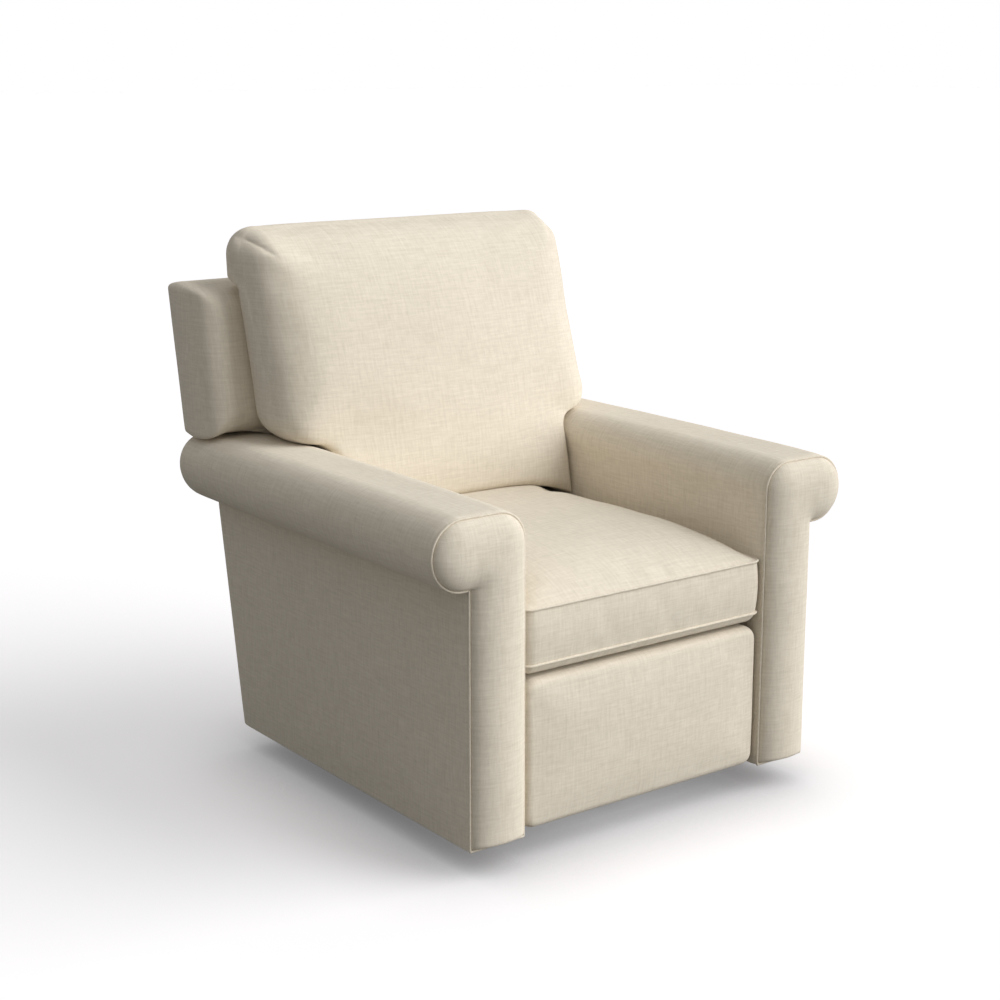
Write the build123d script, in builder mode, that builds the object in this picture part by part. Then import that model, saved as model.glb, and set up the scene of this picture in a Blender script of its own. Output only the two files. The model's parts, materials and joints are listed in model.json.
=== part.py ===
"""Swivel glider recliner with rolled arms: a full assembly in millimetres.

+Z is up, the front of the chair faces -Y, and the origin is on the floor at the swivel axis,
which is also the middle of the chair's plan.
"""

from build123d import *
import os
from math import acos, cos, radians, sin, tan

os.makedirs("parts", exist_ok=True)

# ---------------------------------------------------------------- overall sizes
CHAIR_DEPTH = 891.0          # front of the arm facings to the top rear edge of the outer back
CHAIR_HEIGHT = 976.0         # floor to the top of the back cushion
ARM_SPREAD = 759.0           # centre to centre of the two arm rolls
SEAT_GAP = 520.0             # between the inner faces of the arms
ARM_TOP = 594.0              # floor to the top of the arm rolls
BODY_BOTTOM = 46.0           # floor to the underside of the upholstered body
SEAT_FRAME_BOTTOM = 290.0    # floor to the underside of the seat rails
BACK_TOP = 869.0             # floor to the top of the outer back
BACK_LEAN = 10.0             # degrees that the rear faces lean backwards
front_y = -CHAIR_DEPTH / 2
rear_y = CHAIR_DEPTH / 2

# ---------------------------------------------------------------- arms
ROLL_RADIUS = 58.5           # outer half round of the arm roll
ROLL_INNER_RADIUS = 50.0     # rounding at the inner top edge of the arm
ARM_SIDE_INSET = 11.0        # outer side panel, inboard of the roll's centre
FACING_THICK = 8.0
WELT = 5.0                   # width of the welt strips
ARM_REAR_INSET = 4.0         # arm rear face, in front of the outer back's rear plane
ARM_FRAME_THICK = 50.0
ARM_FRAME_RAIL = 55.0
ARM_FRAME_COVER = 26.0       # padding in front of, behind and above the arm frame
ARM_TOP_PAD = 12.0           # further padding under the arm roll's top
arm_inner_x = SEAT_GAP / 2
roll_x = ARM_SPREAD / 2
roll_z = ARM_TOP - ROLL_RADIUS
arm_side_x = roll_x - ARM_SIDE_INSET
arm_front_y = front_y + FACING_THICK
arm_frame_x = (arm_inner_x + arm_side_x) / 2

# ---------------------------------------------------------------- seat
SEAT_RAIL_HEIGHT = 25.0
SEAT_RAIL_THICK = 22.0
SEAT_SIDE_RAIL_WIDTH = 40.0
FRONT_RAIL_SETBACK = 83.5    # front face of the front rail, behind the arm facings
DECK_THICK = 6.0
CUSHION_SIDE_GAP = 3.0
CUSHION_CORNER = 20.0
CUSHION_NOSE = 10.0          # bevel along the cushion's lower front edge
CUSHION_BOXING = 105.0       # height of the cushion's front face
CUSHION_CROWN = 42.0         # rise of the top from the front edge to the middle
CROWN_AT = 0.45              # share of the depth at which the crown is highest
CUSHION_REAR_RISE = 46.0
CUSHION_REAR_Y = 150.0
WELT_RISE = 7.0              # lower welt above the cushion's underside
SPRING_COUNT = 5
SPRING_WIRE = 3.5
SPRING_SWING = 42.0
SPRING_PITCH = 40.0
SPRING_EDGE = 20.0           # room left beside the outer springs
seat_frame_top = SEAT_FRAME_BOTTOM + SEAT_RAIL_HEIGHT
cushion_bottom = seat_frame_top + DECK_THICK
cushion_half = arm_inner_x - CUSHION_SIDE_GAP
cushion_edge_z = cushion_bottom + CUSHION_BOXING
front_rail_y = front_y + FRONT_RAIL_SETBACK
REAR_RAIL_Y = 180.0

# ---------------------------------------------------------------- outer back, back cushion
BACK_HALF_WIDTH = 419.0
BACK_THICK = 134.0
BACK_SIDE_GAP = 3.0          # outer back to the arm's inner face
ROLL_GAP = 12.0              # outer back over the arm rolls
BACK_BOTTOM = 330.0
BACK_FRAME_THICK = 30.0
BACK_POST_WIDTH = 38.0
BACK_RAIL_HEIGHT = 45.0
BACK_FRAME_COVER = 22.0      # padding outside the back frame
WING_RAIL_CLEAR = 9.0        # padding under the wing rail
BACK_FRAME_LIFT = 5.0        # foot of the back frame above the outer back's bottom
PILLOW_HALF_WIDTH = 348.0
PILLOW_CORNER = 55.0
PILLOW_GAP = 9.0             # back cushion above the seat cushion and over the arms
PILLOW_FRONT_Y = 80.0        # front face of the back cushion where it meets the seat
PILLOW_TOP_FRONT_Y = 222.0
PILLOW_TOP_REAR_Y = 350.0
PILLOW_SHOULDER = 30.0
PILLOW_REAR_GAP = 0.5        # back cushion in front of the outer back
back_half_low = arm_inner_x - BACK_SIDE_GAP

# ---------------------------------------------------------------- back hinge
HINGE_Z = SEAT_FRAME_BOTTOM - 5.0
HINGE_LOBE = 10.0
HINGE_CLEAR = 8.0            # hinge lobes in front of the rear panel
HINGE_PIN_R = 5.0
REAR_PANEL_THICK = 15.0
REAR_PANEL_GAP = 16.0        # rear panel below the outer back
BRACKET_LENGTH = 150.0
BRACKET_LEAN = 9.0           # degrees that the back brackets lean forwards

# ---------------------------------------------------------------- fits
RUN = 0.05                   # radial clearance of a running pivot
OPEN_RUN = 0.4               # radial clearance at the rear links' lower ends
OPEN_EYE = 1.7               # radial clearance at the open pivots of the footrest tongs
FIT = 0.02                   # radial clearance of a fixed pin or screw

# ---------------------------------------------------------------- side plates and link layers
PLATE_THICK = 4.0
LAYER_GAP = 1.0
PLATE_ARM_GAP = 8.0          # side plate to the arm's inner face
PLATE_DEPTH = 30.0
PLATE_EAR = 60.0             # length over which the plate deepens behind the main tong pivot
FLANGE_WIDTH = 45.0
ARM_BOLT_R = 4.0
ARM_BOLT_Y = (-205.0, 20.0, 230.0)
ARM_BOLT_GRIP = 25.0         # length of an arm bolt inside the arm frame
PIN_HEAD = 2.0
PIN_HEAD_RIM = 3.0           # pin and bolt heads beyond the shank's radius
SPACER_RIM = 4.0             # spacer tubes beyond the arm bolt's radius
HEAD_GAP = 0.1               # washers and shoulders off the link beside them
FLANGE_CLEAR = 3.0           # flange behind the swing of the lower control links
plate_outer_x = arm_inner_x - PLATE_ARM_GAP
plate_inner_x = plate_outer_x - PLATE_THICK


def layer_outer(number):
    """Outboard face of link layer 1, 2, 3 or 4, counted inwards from the side plate."""
    return plate_inner_x - LAYER_GAP - (number - 1) * (PLATE_THICK + LAYER_GAP)


def layer_inner(number):
    """Inboard face of a link layer."""
    return layer_outer(number) - PLATE_THICK


RAIL_CLEAR = 3.0             # seat frame, inboard of the innermost link layer
rail_half = layer_inner(4) - RAIL_CLEAR


# ---------------------------------------------------------------- footrest tongs
# Pivots at rest as (Y behind the arm facings, Z below the seat rails).
MAIN_PIVOT = (202.6, -60.1)
ELBOW_PIVOT = (146.3, -220.5)
PANEL_PIVOT = (93.5, -45.8)
CONTROL_PIVOT = (283.2, -15.1)
TAIL_PIVOT = (176.3, -221.6)
EAR_PIVOT = (171.2, -203.0)
TOP_PIVOT = (118.1, -28.1)
LINK_R = 9.5
TONG_PIN_R = 4.0
FIXED_PIN_R = 5.0
BRACE_R = 7.0
BRACKET_DROP = 60.0          # how far the footrest brackets run down the board
BRACE_AT = 0.18              # where the brace sits along the lower control link
FOOTREST_TOP = 306.0
FOOTREST_BOTTOM = 50.0
FOOTREST_PAD_THICK = 53.5
FOOTREST_BOARD_THICK = 15.0
FOOTREST_SIDE_GAP = 5.5
FOOTREST_CORNER = 26.0
FOOTREST_BOARD_MARGIN = 10.0
EYE_WALL = 4.5               # metal round an open pivot's eye

# ---------------------------------------------------------------- glide linkage
GLIDE_HALF_BASE = 120.0      # front and rear hanging links, each side of the swivel axis
GLIDE_TOP_Z = 215.0
GLIDE_LINK_LENGTH = 115.0
GLIDE_LINK_WIDTH = 24.0
GLIDE_LINK_THICK = 5.0
GLIDE_PIN_R = 5.0
BUSH_R = 8.0
POST_INNER_X = 148.0
POST_THICK = 6.0
POST_WIDTH = 36.0
POST_HEAD = 15.0
LINK_PIN_HEAD = 4.0          # thickness of the hanging links' pin heads
LINK_PIN_PROUD = 0.5         # pin end beyond its link
TUBE = 25.0
TUBE_WALL = 2.0
GLIDE_RAIL_THICK = 5.0
GLIDE_RAIL_HEIGHT = 30.0
GLIDE_RAIL_CORNER = 8.0
GLIDE_RAIL_HALF_LENGTH = 150.0
SIDE_CLEAR = 2.0
CROSS_TUBE_Y = 110.0
RISER_WIDTH = 24.0
post_outer_x = POST_INNER_X + POST_THICK
link_inner_x = post_outer_x + SIDE_CLEAR
link_outer_x = link_inner_x + GLIDE_LINK_THICK
glide_rail_x = link_outer_x + SIDE_CLEAR
glide_low_z = GLIDE_TOP_Z - GLIDE_LINK_LENGTH
cross_tube_top = SEAT_FRAME_BOTTOM - 7.0

# ---------------------------------------------------------------- base and swivel
RING_OUTER = 300.0
RING_WIDTH = 42.0
RING_HEIGHT = 30.0
RING_EDGE = 7.0
GLIDE_PAD_THICK = 3.0
GLIDE_PAD_R = 12.0
SPIDER_WIDTH = 40.0
SPIDER_THICK = 6.0
SPIDER_REACH = 318.0
HUB_R = 90.0
RACE_OUTER = 80.0
RACE_INNER = 45.0
RACE_THICK = 6.0
RACE_GAP = 2.0
BALL_R = 4.0
BALL_TRACK = 62.0
BALL_COUNT = 18
SWIVEL_BOLT_R = 8.0
SWIVEL_HEAD_R = 14.0
SWIVEL_HEAD_H = 5.0
TABLE_THICK = 5.0
NUT_HEIGHT = 12.0
NUT_R = 13.0
WASHER_R = 16.0
WASHER_GAP = 0.3             # washer above the turntable plate
WASHER_THICK = 2.2
BOLT_PROUD = 2.0             # bolt end beyond the nut
TABLE_CORNER = 12.0
SCREW_R = 2.5
SCREW_HEAD_R = 5.0
SCREW_HEAD_H = 2.5
SCREW_DEPTH = 16.0
SCREW_OFFSET = 11.0          # screws each side of a spider arm's middle
FLOOR_GLIDE_COUNT = 8
ring_top = GLIDE_PAD_THICK + RING_HEIGHT
ring_mid_r = RING_OUTER - RING_WIDTH / 2
race_top = ring_top + RACE_THICK
upper_race_z = race_top + RACE_GAP
table_z = upper_race_z + RACE_THICK
table_top = table_z + TABLE_THICK
table_half_x = post_outer_x
table_half_y = GLIDE_HALF_BASE + POST_WIDTH / 2


def rear_plane_y(z):
    """Y of the outer back's rear face at height z."""
    return rear_y - tan(radians(BACK_LEAN)) * (BACK_TOP - z)


hinge_y = rear_plane_y(HINGE_Z) - REAR_PANEL_THICK - HINGE_LOBE - HINGE_CLEAR


def at(pivot):
    """Row-frame (Y, Z) of a tong pivot given from the facings and the seat rails."""
    return (front_y + pivot[0], SEAT_FRAME_BOTTOM + pivot[1])


def side_plane(x):
    """Sketch plane at X = x, drawn in (Y, Z) and extruded towards +X."""
    return Plane(origin=(x, 0, 0), x_dir=(0, 1, 0), z_dir=(1, 0, 0))


def front_plane(y):
    """Sketch plane at Y = y, drawn in (X, Z) and extruded towards -Y."""
    return Plane(origin=(0, y, 0), x_dir=(1, 0, 0), z_dir=(0, -1, 0))


def finish(builder, name):
    """Label a finished piece and write it."""
    builder.part.label = name
    export_step(builder.part, f"parts/{name}.step")


def bars(x_inner, thick, pivots, radius):
    """Left and right round-ended bars that join the pivots in order."""
    for x in (x_inner, -x_inner - thick):
        with BuildSketch(side_plane(x)) as profile:
            for start, end in zip(pivots, pivots[1:]):
                with BuildSketch(mode=Mode.PRIVATE) as bar:
                    with Locations(start, end):
                        Circle(radius)
                    make_hull()
                add(bar.sketch)
        extrude(profile.sketch, amount=thick)


def pins(x_inner, x_outer, centres, radius, mode=Mode.ADD):
    """Left and right round pins, or bores with Mode.SUBTRACT, along X at each centre."""
    for x in (x_inner, -x_outer):
        with BuildSketch(side_plane(x)) as profile:
            with Locations(*centres):
                Circle(radius)
        extrude(profile.sketch, amount=x_outer - x_inner, mode=mode)


# ================================================================ base: ring, spider, bearing
screw_spots = []
for angle in (0, 90, 180, 270):
    for across in (-SCREW_OFFSET, SCREW_OFFSET):
        along = radians(angle)
        x = ring_mid_r * cos(along) - across * sin(along)
        y = ring_mid_r * sin(along) + across * cos(along)
        screw_spots.append((x, y))

with BuildPart() as base_spider:
    with BuildSketch(Plane.XY.offset(ring_top - SPIDER_THICK)):
        Rectangle(2 * SPIDER_REACH, SPIDER_WIDTH)
        Rectangle(SPIDER_WIDTH, 2 * SPIDER_REACH)
        Circle(HUB_R)
        Circle(SWIVEL_BOLT_R + FIT, mode=Mode.SUBTRACT)
        with Locations(*screw_spots):
            Circle(SCREW_R + FIT, mode=Mode.SUBTRACT)
    extrude(amount=SPIDER_THICK)
finish(base_spider, "base_spider")

with BuildPart() as base_ring:
    with BuildSketch(Plane.XZ):
        with Locations((ring_mid_r, GLIDE_PAD_THICK + RING_HEIGHT / 2)):
            RectangleRounded(RING_WIDTH, RING_HEIGHT, RING_EDGE)
    revolve(axis=Axis.Z)
    with BuildSketch(Plane.XY.offset(ring_top - SPIDER_THICK)):
        Rectangle(2 * SPIDER_REACH, SPIDER_WIDTH)
        Rectangle(SPIDER_WIDTH, 2 * SPIDER_REACH)
    extrude(amount=SPIDER_THICK, mode=Mode.SUBTRACT)
    with BuildSketch(Plane.XY.offset(ring_top - SCREW_DEPTH)):
        with Locations(*screw_spots):
            Circle(SCREW_R + FIT)
    extrude(amount=SCREW_DEPTH, mode=Mode.SUBTRACT)
finish(base_ring, "base_ring")

with BuildPart() as floor_glides:
    with BuildSketch():
        with PolarLocations(ring_mid_r, FLOOR_GLIDE_COUNT, start_angle=180 / FLOOR_GLIDE_COUNT):
            Circle(GLIDE_PAD_R)
    extrude(amount=GLIDE_PAD_THICK)
finish(floor_glides, "floor_glides")

with BuildPart() as spider_screws:
    with BuildSketch(Plane.XY.offset(ring_top - SCREW_DEPTH)):
        with Locations(*screw_spots):
            Circle(SCREW_R)
    extrude(amount=SCREW_DEPTH)
    with BuildSketch(Plane.XY.offset(ring_top)):
        with Locations(*screw_spots):
            Circle(SCREW_HEAD_R)
    extrude(amount=SCREW_HEAD_H)
finish(spider_screws, "spider_screws")


def race(name, bottom):
    """One flat race with its ball groove."""
    with BuildPart() as ring:
        with BuildSketch(Plane.XY.offset(bottom)):
            Circle(RACE_OUTER)
            Circle(RACE_INNER, mode=Mode.SUBTRACT)
        extrude(amount=RACE_THICK)
        with BuildSketch(Plane.XZ):
            with Locations((BALL_TRACK, race_top + RACE_GAP / 2)):
                Circle(BALL_R + RUN)
        revolve(axis=Axis.Z, mode=Mode.SUBTRACT)
    finish(ring, name)


race("bearing_lower_race", ring_top)
race("bearing_upper_race", upper_race_z)

with BuildPart() as bearing_balls:
    with Locations((0, 0, race_top + RACE_GAP / 2)):
        with PolarLocations(BALL_TRACK, BALL_COUNT):
            Sphere(BALL_R)
finish(bearing_balls, "bearing_balls")

washer_z = table_top + WASHER_GAP
nut_z = washer_z + WASHER_THICK
bolt_top = nut_z + NUT_HEIGHT + BOLT_PROUD
with BuildPart() as swivel_bolt:
    with BuildSketch(Plane.XY.offset(ring_top - SPIDER_THICK - SWIVEL_HEAD_H)):
        RegularPolygon(SWIVEL_HEAD_R, 6)
    extrude(amount=SWIVEL_HEAD_H)
    with BuildSketch(Plane.XY.offset(ring_top - SPIDER_THICK)):
        Circle(SWIVEL_BOLT_R)
    extrude(amount=bolt_top - ring_top + SPIDER_THICK)
finish(swivel_bolt, "swivel_bolt")

with BuildPart() as swivel_nut:
    with BuildSketch(Plane.XY.offset(washer_z)):
        Circle(WASHER_R)
        Circle(SWIVEL_BOLT_R + FIT, mode=Mode.SUBTRACT)
    extrude(amount=WASHER_THICK)
    with BuildSketch(Plane.XY.offset(nut_z)):
        RegularPolygon(NUT_R, 6)
        Circle(SWIVEL_BOLT_R + FIT, mode=Mode.SUBTRACT)
    extrude(amount=NUT_HEIGHT)
finish(swivel_nut, "swivel_nut")

# ================================================================ turntable with glide posts
with BuildPart() as turntable_plate:
    with BuildSketch(Plane.XY.offset(table_z)):
        RectangleRounded(2 * table_half_x, 2 * table_half_y, TABLE_CORNER)
        Circle(SWIVEL_BOLT_R + RUN, mode=Mode.SUBTRACT)
    extrude(amount=TABLE_THICK)
finish(turntable_plate, "turntable_plate")

with BuildPart() as turntable_tubes:
    for y in (-GLIDE_HALF_BASE, GLIDE_HALF_BASE):
        with BuildSketch(side_plane(-post_outer_x)):
            with Locations((y, table_top + TUBE / 2)):
                Rectangle(TUBE, TUBE)
                Rectangle(TUBE - 2 * TUBE_WALL, TUBE - 2 * TUBE_WALL, mode=Mode.SUBTRACT)
        extrude(amount=2 * post_outer_x)
finish(turntable_tubes, "turntable_tubes")

upper_spots = [(-GLIDE_HALF_BASE, GLIDE_TOP_Z), (GLIDE_HALF_BASE, GLIDE_TOP_Z)]
lower_spots = [(-GLIDE_HALF_BASE, glide_low_z), (GLIDE_HALF_BASE, glide_low_z)]
post_foot_z = table_top + TUBE
with BuildPart() as glide_posts:
    for x in (POST_INNER_X, -post_outer_x):
        for y in (-GLIDE_HALF_BASE, GLIDE_HALF_BASE):
            with BuildSketch(side_plane(x)):
                with BuildLine():
                    Polyline(
                        (y - POST_WIDTH / 2, post_foot_z),
                        (y + POST_WIDTH / 2, post_foot_z),
                        (y + POST_HEAD, GLIDE_TOP_Z),
                        (y - POST_HEAD, GLIDE_TOP_Z),
                        close=True,
                    )
                make_face()
                with Locations((y, GLIDE_TOP_Z)):
                    Circle(POST_HEAD)
            extrude(amount=POST_THICK)
    pins(POST_INNER_X, post_outer_x, upper_spots, GLIDE_PIN_R + FIT, mode=Mode.SUBTRACT)
finish(glide_posts, "glide_posts")

with BuildPart() as upper_link_pins:
    pins(POST_INNER_X - LINK_PIN_HEAD, POST_INNER_X, upper_spots, BUSH_R)
    pins(POST_INNER_X, post_outer_x, upper_spots, GLIDE_PIN_R)
    pins(post_outer_x, link_inner_x - HEAD_GAP, upper_spots, BUSH_R)
    pins(link_inner_x - HEAD_GAP, link_outer_x + LINK_PIN_PROUD, upper_spots, GLIDE_PIN_R)
finish(upper_link_pins, "upper_link_pins")


def hanging_links(name, y, low_clearance):
    """Left and right hanging links at one end of the chair."""
    top, low = (y, GLIDE_TOP_Z), (y, glide_low_z)
    with BuildPart() as links:
        bars(link_inner_x, GLIDE_LINK_THICK, [top, low], GLIDE_LINK_WIDTH / 2)
        pins(link_inner_x, link_outer_x, [top], GLIDE_PIN_R + RUN, mode=Mode.SUBTRACT)
        pins(link_inner_x, link_outer_x, [low], GLIDE_PIN_R + low_clearance, mode=Mode.SUBTRACT)
    finish(links, name)


hanging_links("glide_links_front", -GLIDE_HALF_BASE, RUN)
hanging_links("glide_links_rear", GLIDE_HALF_BASE, OPEN_RUN)

# ================================================================ carriage: glide rails to seat
with BuildPart() as lower_link_pins:
    rail_outer_x = glide_rail_x + GLIDE_RAIL_THICK
    pins(link_inner_x - LINK_PIN_PROUD, link_outer_x + HEAD_GAP, lower_spots, GLIDE_PIN_R)
    pins(link_outer_x + HEAD_GAP, glide_rail_x, lower_spots, BUSH_R)
    pins(glide_rail_x, rail_outer_x, lower_spots, GLIDE_PIN_R)
    pins(rail_outer_x, rail_outer_x + LINK_PIN_HEAD, lower_spots, BUSH_R)
finish(lower_link_pins, "lower_link_pins")

with BuildPart() as glide_rails:
    for x in (glide_rail_x, -glide_rail_x - GLIDE_RAIL_THICK):
        with BuildSketch(side_plane(x)):
            with Locations((0, glide_low_z)):
                RectangleRounded(2 * GLIDE_RAIL_HALF_LENGTH, GLIDE_RAIL_HEIGHT, GLIDE_RAIL_CORNER)
        extrude(amount=GLIDE_RAIL_THICK)
    pins(
        glide_rail_x,
        glide_rail_x + GLIDE_RAIL_THICK,
        lower_spots,
        GLIDE_PIN_R + FIT,
        mode=Mode.SUBTRACT,
    )
finish(glide_rails, "glide_rails")

cross_tube_low = cross_tube_top - TUBE
riser_low = glide_low_z + GLIDE_RAIL_HEIGHT / 2
with BuildPart() as glide_risers:
    for x in (glide_rail_x, -glide_rail_x - GLIDE_RAIL_THICK):
        with BuildSketch(side_plane(x)):
            for y in (-CROSS_TUBE_Y, CROSS_TUBE_Y):
                with Locations((y, (riser_low + cross_tube_low) / 2)):
                    Rectangle(RISER_WIDTH, cross_tube_low - riser_low)
        extrude(amount=GLIDE_RAIL_THICK)
finish(glide_risers, "glide_risers")

with BuildPart() as cross_tubes:
    for y in (-CROSS_TUBE_Y, CROSS_TUBE_Y):
        with BuildSketch(side_plane(-plate_inner_x)):
            with Locations((y, cross_tube_top - TUBE / 2)):
                Rectangle(TUBE, TUBE)
                Rectangle(TUBE - 2 * TUBE_WALL, TUBE - 2 * TUBE_WALL, mode=Mode.SUBTRACT)
        extrude(amount=2 * plate_inner_x)
finish(cross_tubes, "cross_tubes")

main_spot, control_spot, hinge_spot = at(MAIN_PIVOT), at(CONTROL_PIVOT), (hinge_y, HINGE_Z)
plate_top = SEAT_FRAME_BOTTOM - PLATE_THICK
plate_mid_z = plate_top - PLATE_DEPTH / 2
flange_front = control_spot[0] + LINK_R + FLANGE_CLEAR
flange_length = REAR_RAIL_Y + SEAT_RAIL_THICK - flange_front
flange_mid_x = plate_outer_x - FLANGE_WIDTH / 2
arm_bolt_spots = [(y, plate_mid_z) for y in ARM_BOLT_Y]


def side_plate(name, side):
    """Steel side plate that carries the tongs, the cross tubes and the back hinge."""
    x_low = plate_inner_x if side > 0 else -plate_outer_x
    with BuildPart() as plate:
        with BuildSketch(side_plane(x_low)):
            with Locations(((main_spot[0] + hinge_y) / 2, plate_mid_z)):
                Rectangle(hinge_y - main_spot[0], PLATE_DEPTH)
            with Locations((hinge_y, HINGE_Z)):
                Circle(HINGE_LOBE)
            ear_rear = (main_spot[0] + PLATE_EAR, plate_mid_z)
            with BuildSketch(mode=Mode.PRIVATE) as lobe:
                with Locations(main_spot, (main_spot[0], plate_mid_z), ear_rear):
                    Circle(PLATE_DEPTH / 2)
                make_hull()
            add(lobe.sketch)
        extrude(amount=PLATE_THICK)
        with BuildSketch(Plane.XY.offset(plate_top)):
            with Locations((side * flange_mid_x, flange_front + flange_length / 2)):
                Rectangle(FLANGE_WIDTH, flange_length)
        extrude(amount=PLATE_THICK)
        for spots, radius in (
            ([main_spot, control_spot], FIXED_PIN_R),
            ([hinge_spot], HINGE_PIN_R),
            (arm_bolt_spots, ARM_BOLT_R),
        ):
            pins(plate_inner_x, plate_outer_x, spots, radius + FIT, mode=Mode.SUBTRACT)
    finish(plate, name)


side_plate("side_plate_left", -1)
side_plate("side_plate_right", 1)

with BuildPart() as mechanism_pins:
    arm_side = plate_outer_x + PIN_HEAD
    head_r = FIXED_PIN_R + PIN_HEAD_RIM
    main_reach = layer_inner(2)
    control_reach = layer_inner(4)
    pins(main_reach, plate_outer_x, [main_spot], FIXED_PIN_R)
    pins(control_reach, plate_outer_x, [control_spot], FIXED_PIN_R)
    pins(layer_outer(2) + HEAD_GAP, plate_inner_x, [main_spot], head_r)
    pins(layer_outer(4) + HEAD_GAP, plate_inner_x, [control_spot], head_r)
    pins(plate_outer_x, arm_side, [main_spot, control_spot], head_r)
finish(mechanism_pins, "mechanism_pins")

with BuildPart() as back_hinge_pins:
    pins(layer_inner(1), plate_outer_x, [hinge_spot], HINGE_PIN_R)
    pins(plate_outer_x, plate_outer_x + PIN_HEAD, [hinge_spot], HINGE_PIN_R + PIN_HEAD_RIM)
finish(back_hinge_pins, "back_hinge_pins")

# ================================================================ seat frame, deck and springs
with BuildPart() as seat_front_rail:
    with BuildSketch(Plane.XY.offset(SEAT_FRAME_BOTTOM)):
        with Locations((0, front_rail_y + SEAT_RAIL_THICK / 2)):
            Rectangle(2 * rail_half, SEAT_RAIL_THICK)
    extrude(amount=SEAT_RAIL_HEIGHT)
finish(seat_front_rail, "seat_front_rail")

with BuildPart() as seat_rear_rail:
    with BuildSketch(Plane.XY.offset(SEAT_FRAME_BOTTOM)):
        with Locations((0, REAR_RAIL_Y + SEAT_RAIL_THICK / 2)):
            Rectangle(2 * rail_half, SEAT_RAIL_THICK)
    extrude(amount=SEAT_RAIL_HEIGHT)
finish(seat_rear_rail, "seat_rear_rail")

side_rail_start = front_rail_y + SEAT_RAIL_THICK
side_rail_length = REAR_RAIL_Y - side_rail_start
side_rail_x = rail_half - SEAT_SIDE_RAIL_WIDTH / 2
with BuildPart() as seat_side_rails:
    for side in (-1, 1):
        with BuildSketch(Plane.XY.offset(SEAT_FRAME_BOTTOM)):
            with Locations((side * side_rail_x, side_rail_start + side_rail_length / 2)):
                Rectangle(SEAT_SIDE_RAIL_WIDTH, side_rail_length)
        extrude(amount=SEAT_RAIL_HEIGHT)
finish(seat_side_rails, "seat_side_rails")

spring_span = 2 * (rail_half - SEAT_SIDE_RAIL_WIDTH) - SPRING_SWING - SPRING_EDGE
spring_turns = int(side_rail_length // SPRING_PITCH)
with BuildPart() as sinuous_springs:
    for index in range(SPRING_COUNT):
        x = spring_span * (index / (SPRING_COUNT - 1) - 0.5)
        bends = [
            (
                x + SPRING_SWING / 2 * (-1) ** turn,
                side_rail_start + side_rail_length * (turn + 0.5) / spring_turns,
            )
            for turn in range(spring_turns)
        ]
        ends = [(x, side_rail_start + SPRING_WIRE), (x, REAR_RAIL_Y - SPRING_WIRE)]
        with BuildSketch(Plane.XY.offset(seat_frame_top - 2 * SPRING_WIRE)):
            with BuildLine():
                Polyline(ends[0], *bends, ends[1])
            trace(line_width=SPRING_WIRE)
        extrude(amount=SPRING_WIRE)
finish(sinuous_springs, "sinuous_springs")

with BuildPart() as deck_pad:
    with BuildSketch(Plane.XY.offset(seat_frame_top)):
        with Locations((0, (front_rail_y + REAR_RAIL_Y + SEAT_RAIL_THICK) / 2)):
            Rectangle(2 * rail_half, REAR_RAIL_Y + SEAT_RAIL_THICK - front_rail_y)
    extrude(amount=DECK_THICK)
finish(deck_pad, "deck_pad")

# ================================================================ seat cushion and its welts
cushion_front_y = arm_front_y
cushion_length = CUSHION_REAR_Y - cushion_front_y


def cushion_welt(name, z):
    """Welt strip round the cushion's edge at height z."""
    with BuildPart() as strip:
        with BuildSketch(Plane.XY.offset(z)):
            with Locations((0, cushion_front_y + cushion_length / 2)):
                RectangleRounded(2 * cushion_half, cushion_length, CUSHION_CORNER)
                RectangleRounded(
                    2 * cushion_half - 2 * WELT,
                    cushion_length - 2 * WELT,
                    CUSHION_CORNER - WELT,
                    mode=Mode.SUBTRACT,
                )
        extrude(amount=WELT)
    finish(strip, name)
    return strip.part


upper_welt = cushion_welt("seat_welt_upper", cushion_edge_z - WELT)
lower_welt = cushion_welt("seat_welt_lower", cushion_bottom + WELT_RISE)
crown_y = cushion_front_y + cushion_length * CROWN_AT
with BuildPart() as seat_cushion:
    with BuildSketch(Plane.XY.offset(cushion_bottom)):
        with Locations((0, cushion_front_y + cushion_length / 2)):
            RectangleRounded(2 * cushion_half, cushion_length, CUSHION_CORNER)
    extrude(amount=CUSHION_BOXING + CUSHION_REAR_RISE)
    with BuildSketch(side_plane(-cushion_half)):
        with BuildLine():
            low_rear = (CUSHION_REAR_Y, cushion_bottom)
            top_rear = (CUSHION_REAR_Y, cushion_edge_z + CUSHION_REAR_RISE)
            top_front = (cushion_front_y, cushion_edge_z)
            low_front = (cushion_front_y, cushion_bottom + CUSHION_NOSE)
            Line(low_rear, top_rear)
            ThreePointArc(top_rear, (crown_y, cushion_edge_z + CUSHION_CROWN), top_front)
            Line(top_front, low_front)
            Line(low_front, (cushion_front_y + CUSHION_NOSE, cushion_bottom))
            Line((cushion_front_y + CUSHION_NOSE, cushion_bottom), low_rear)
        make_face()
    extrude(amount=2 * cushion_half, mode=Mode.INTERSECT)
    add(upper_welt, mode=Mode.SUBTRACT)
    add(lower_welt, mode=Mode.SUBTRACT)
finish(seat_cushion, "seat_cushion")

# ================================================================ arms


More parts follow.
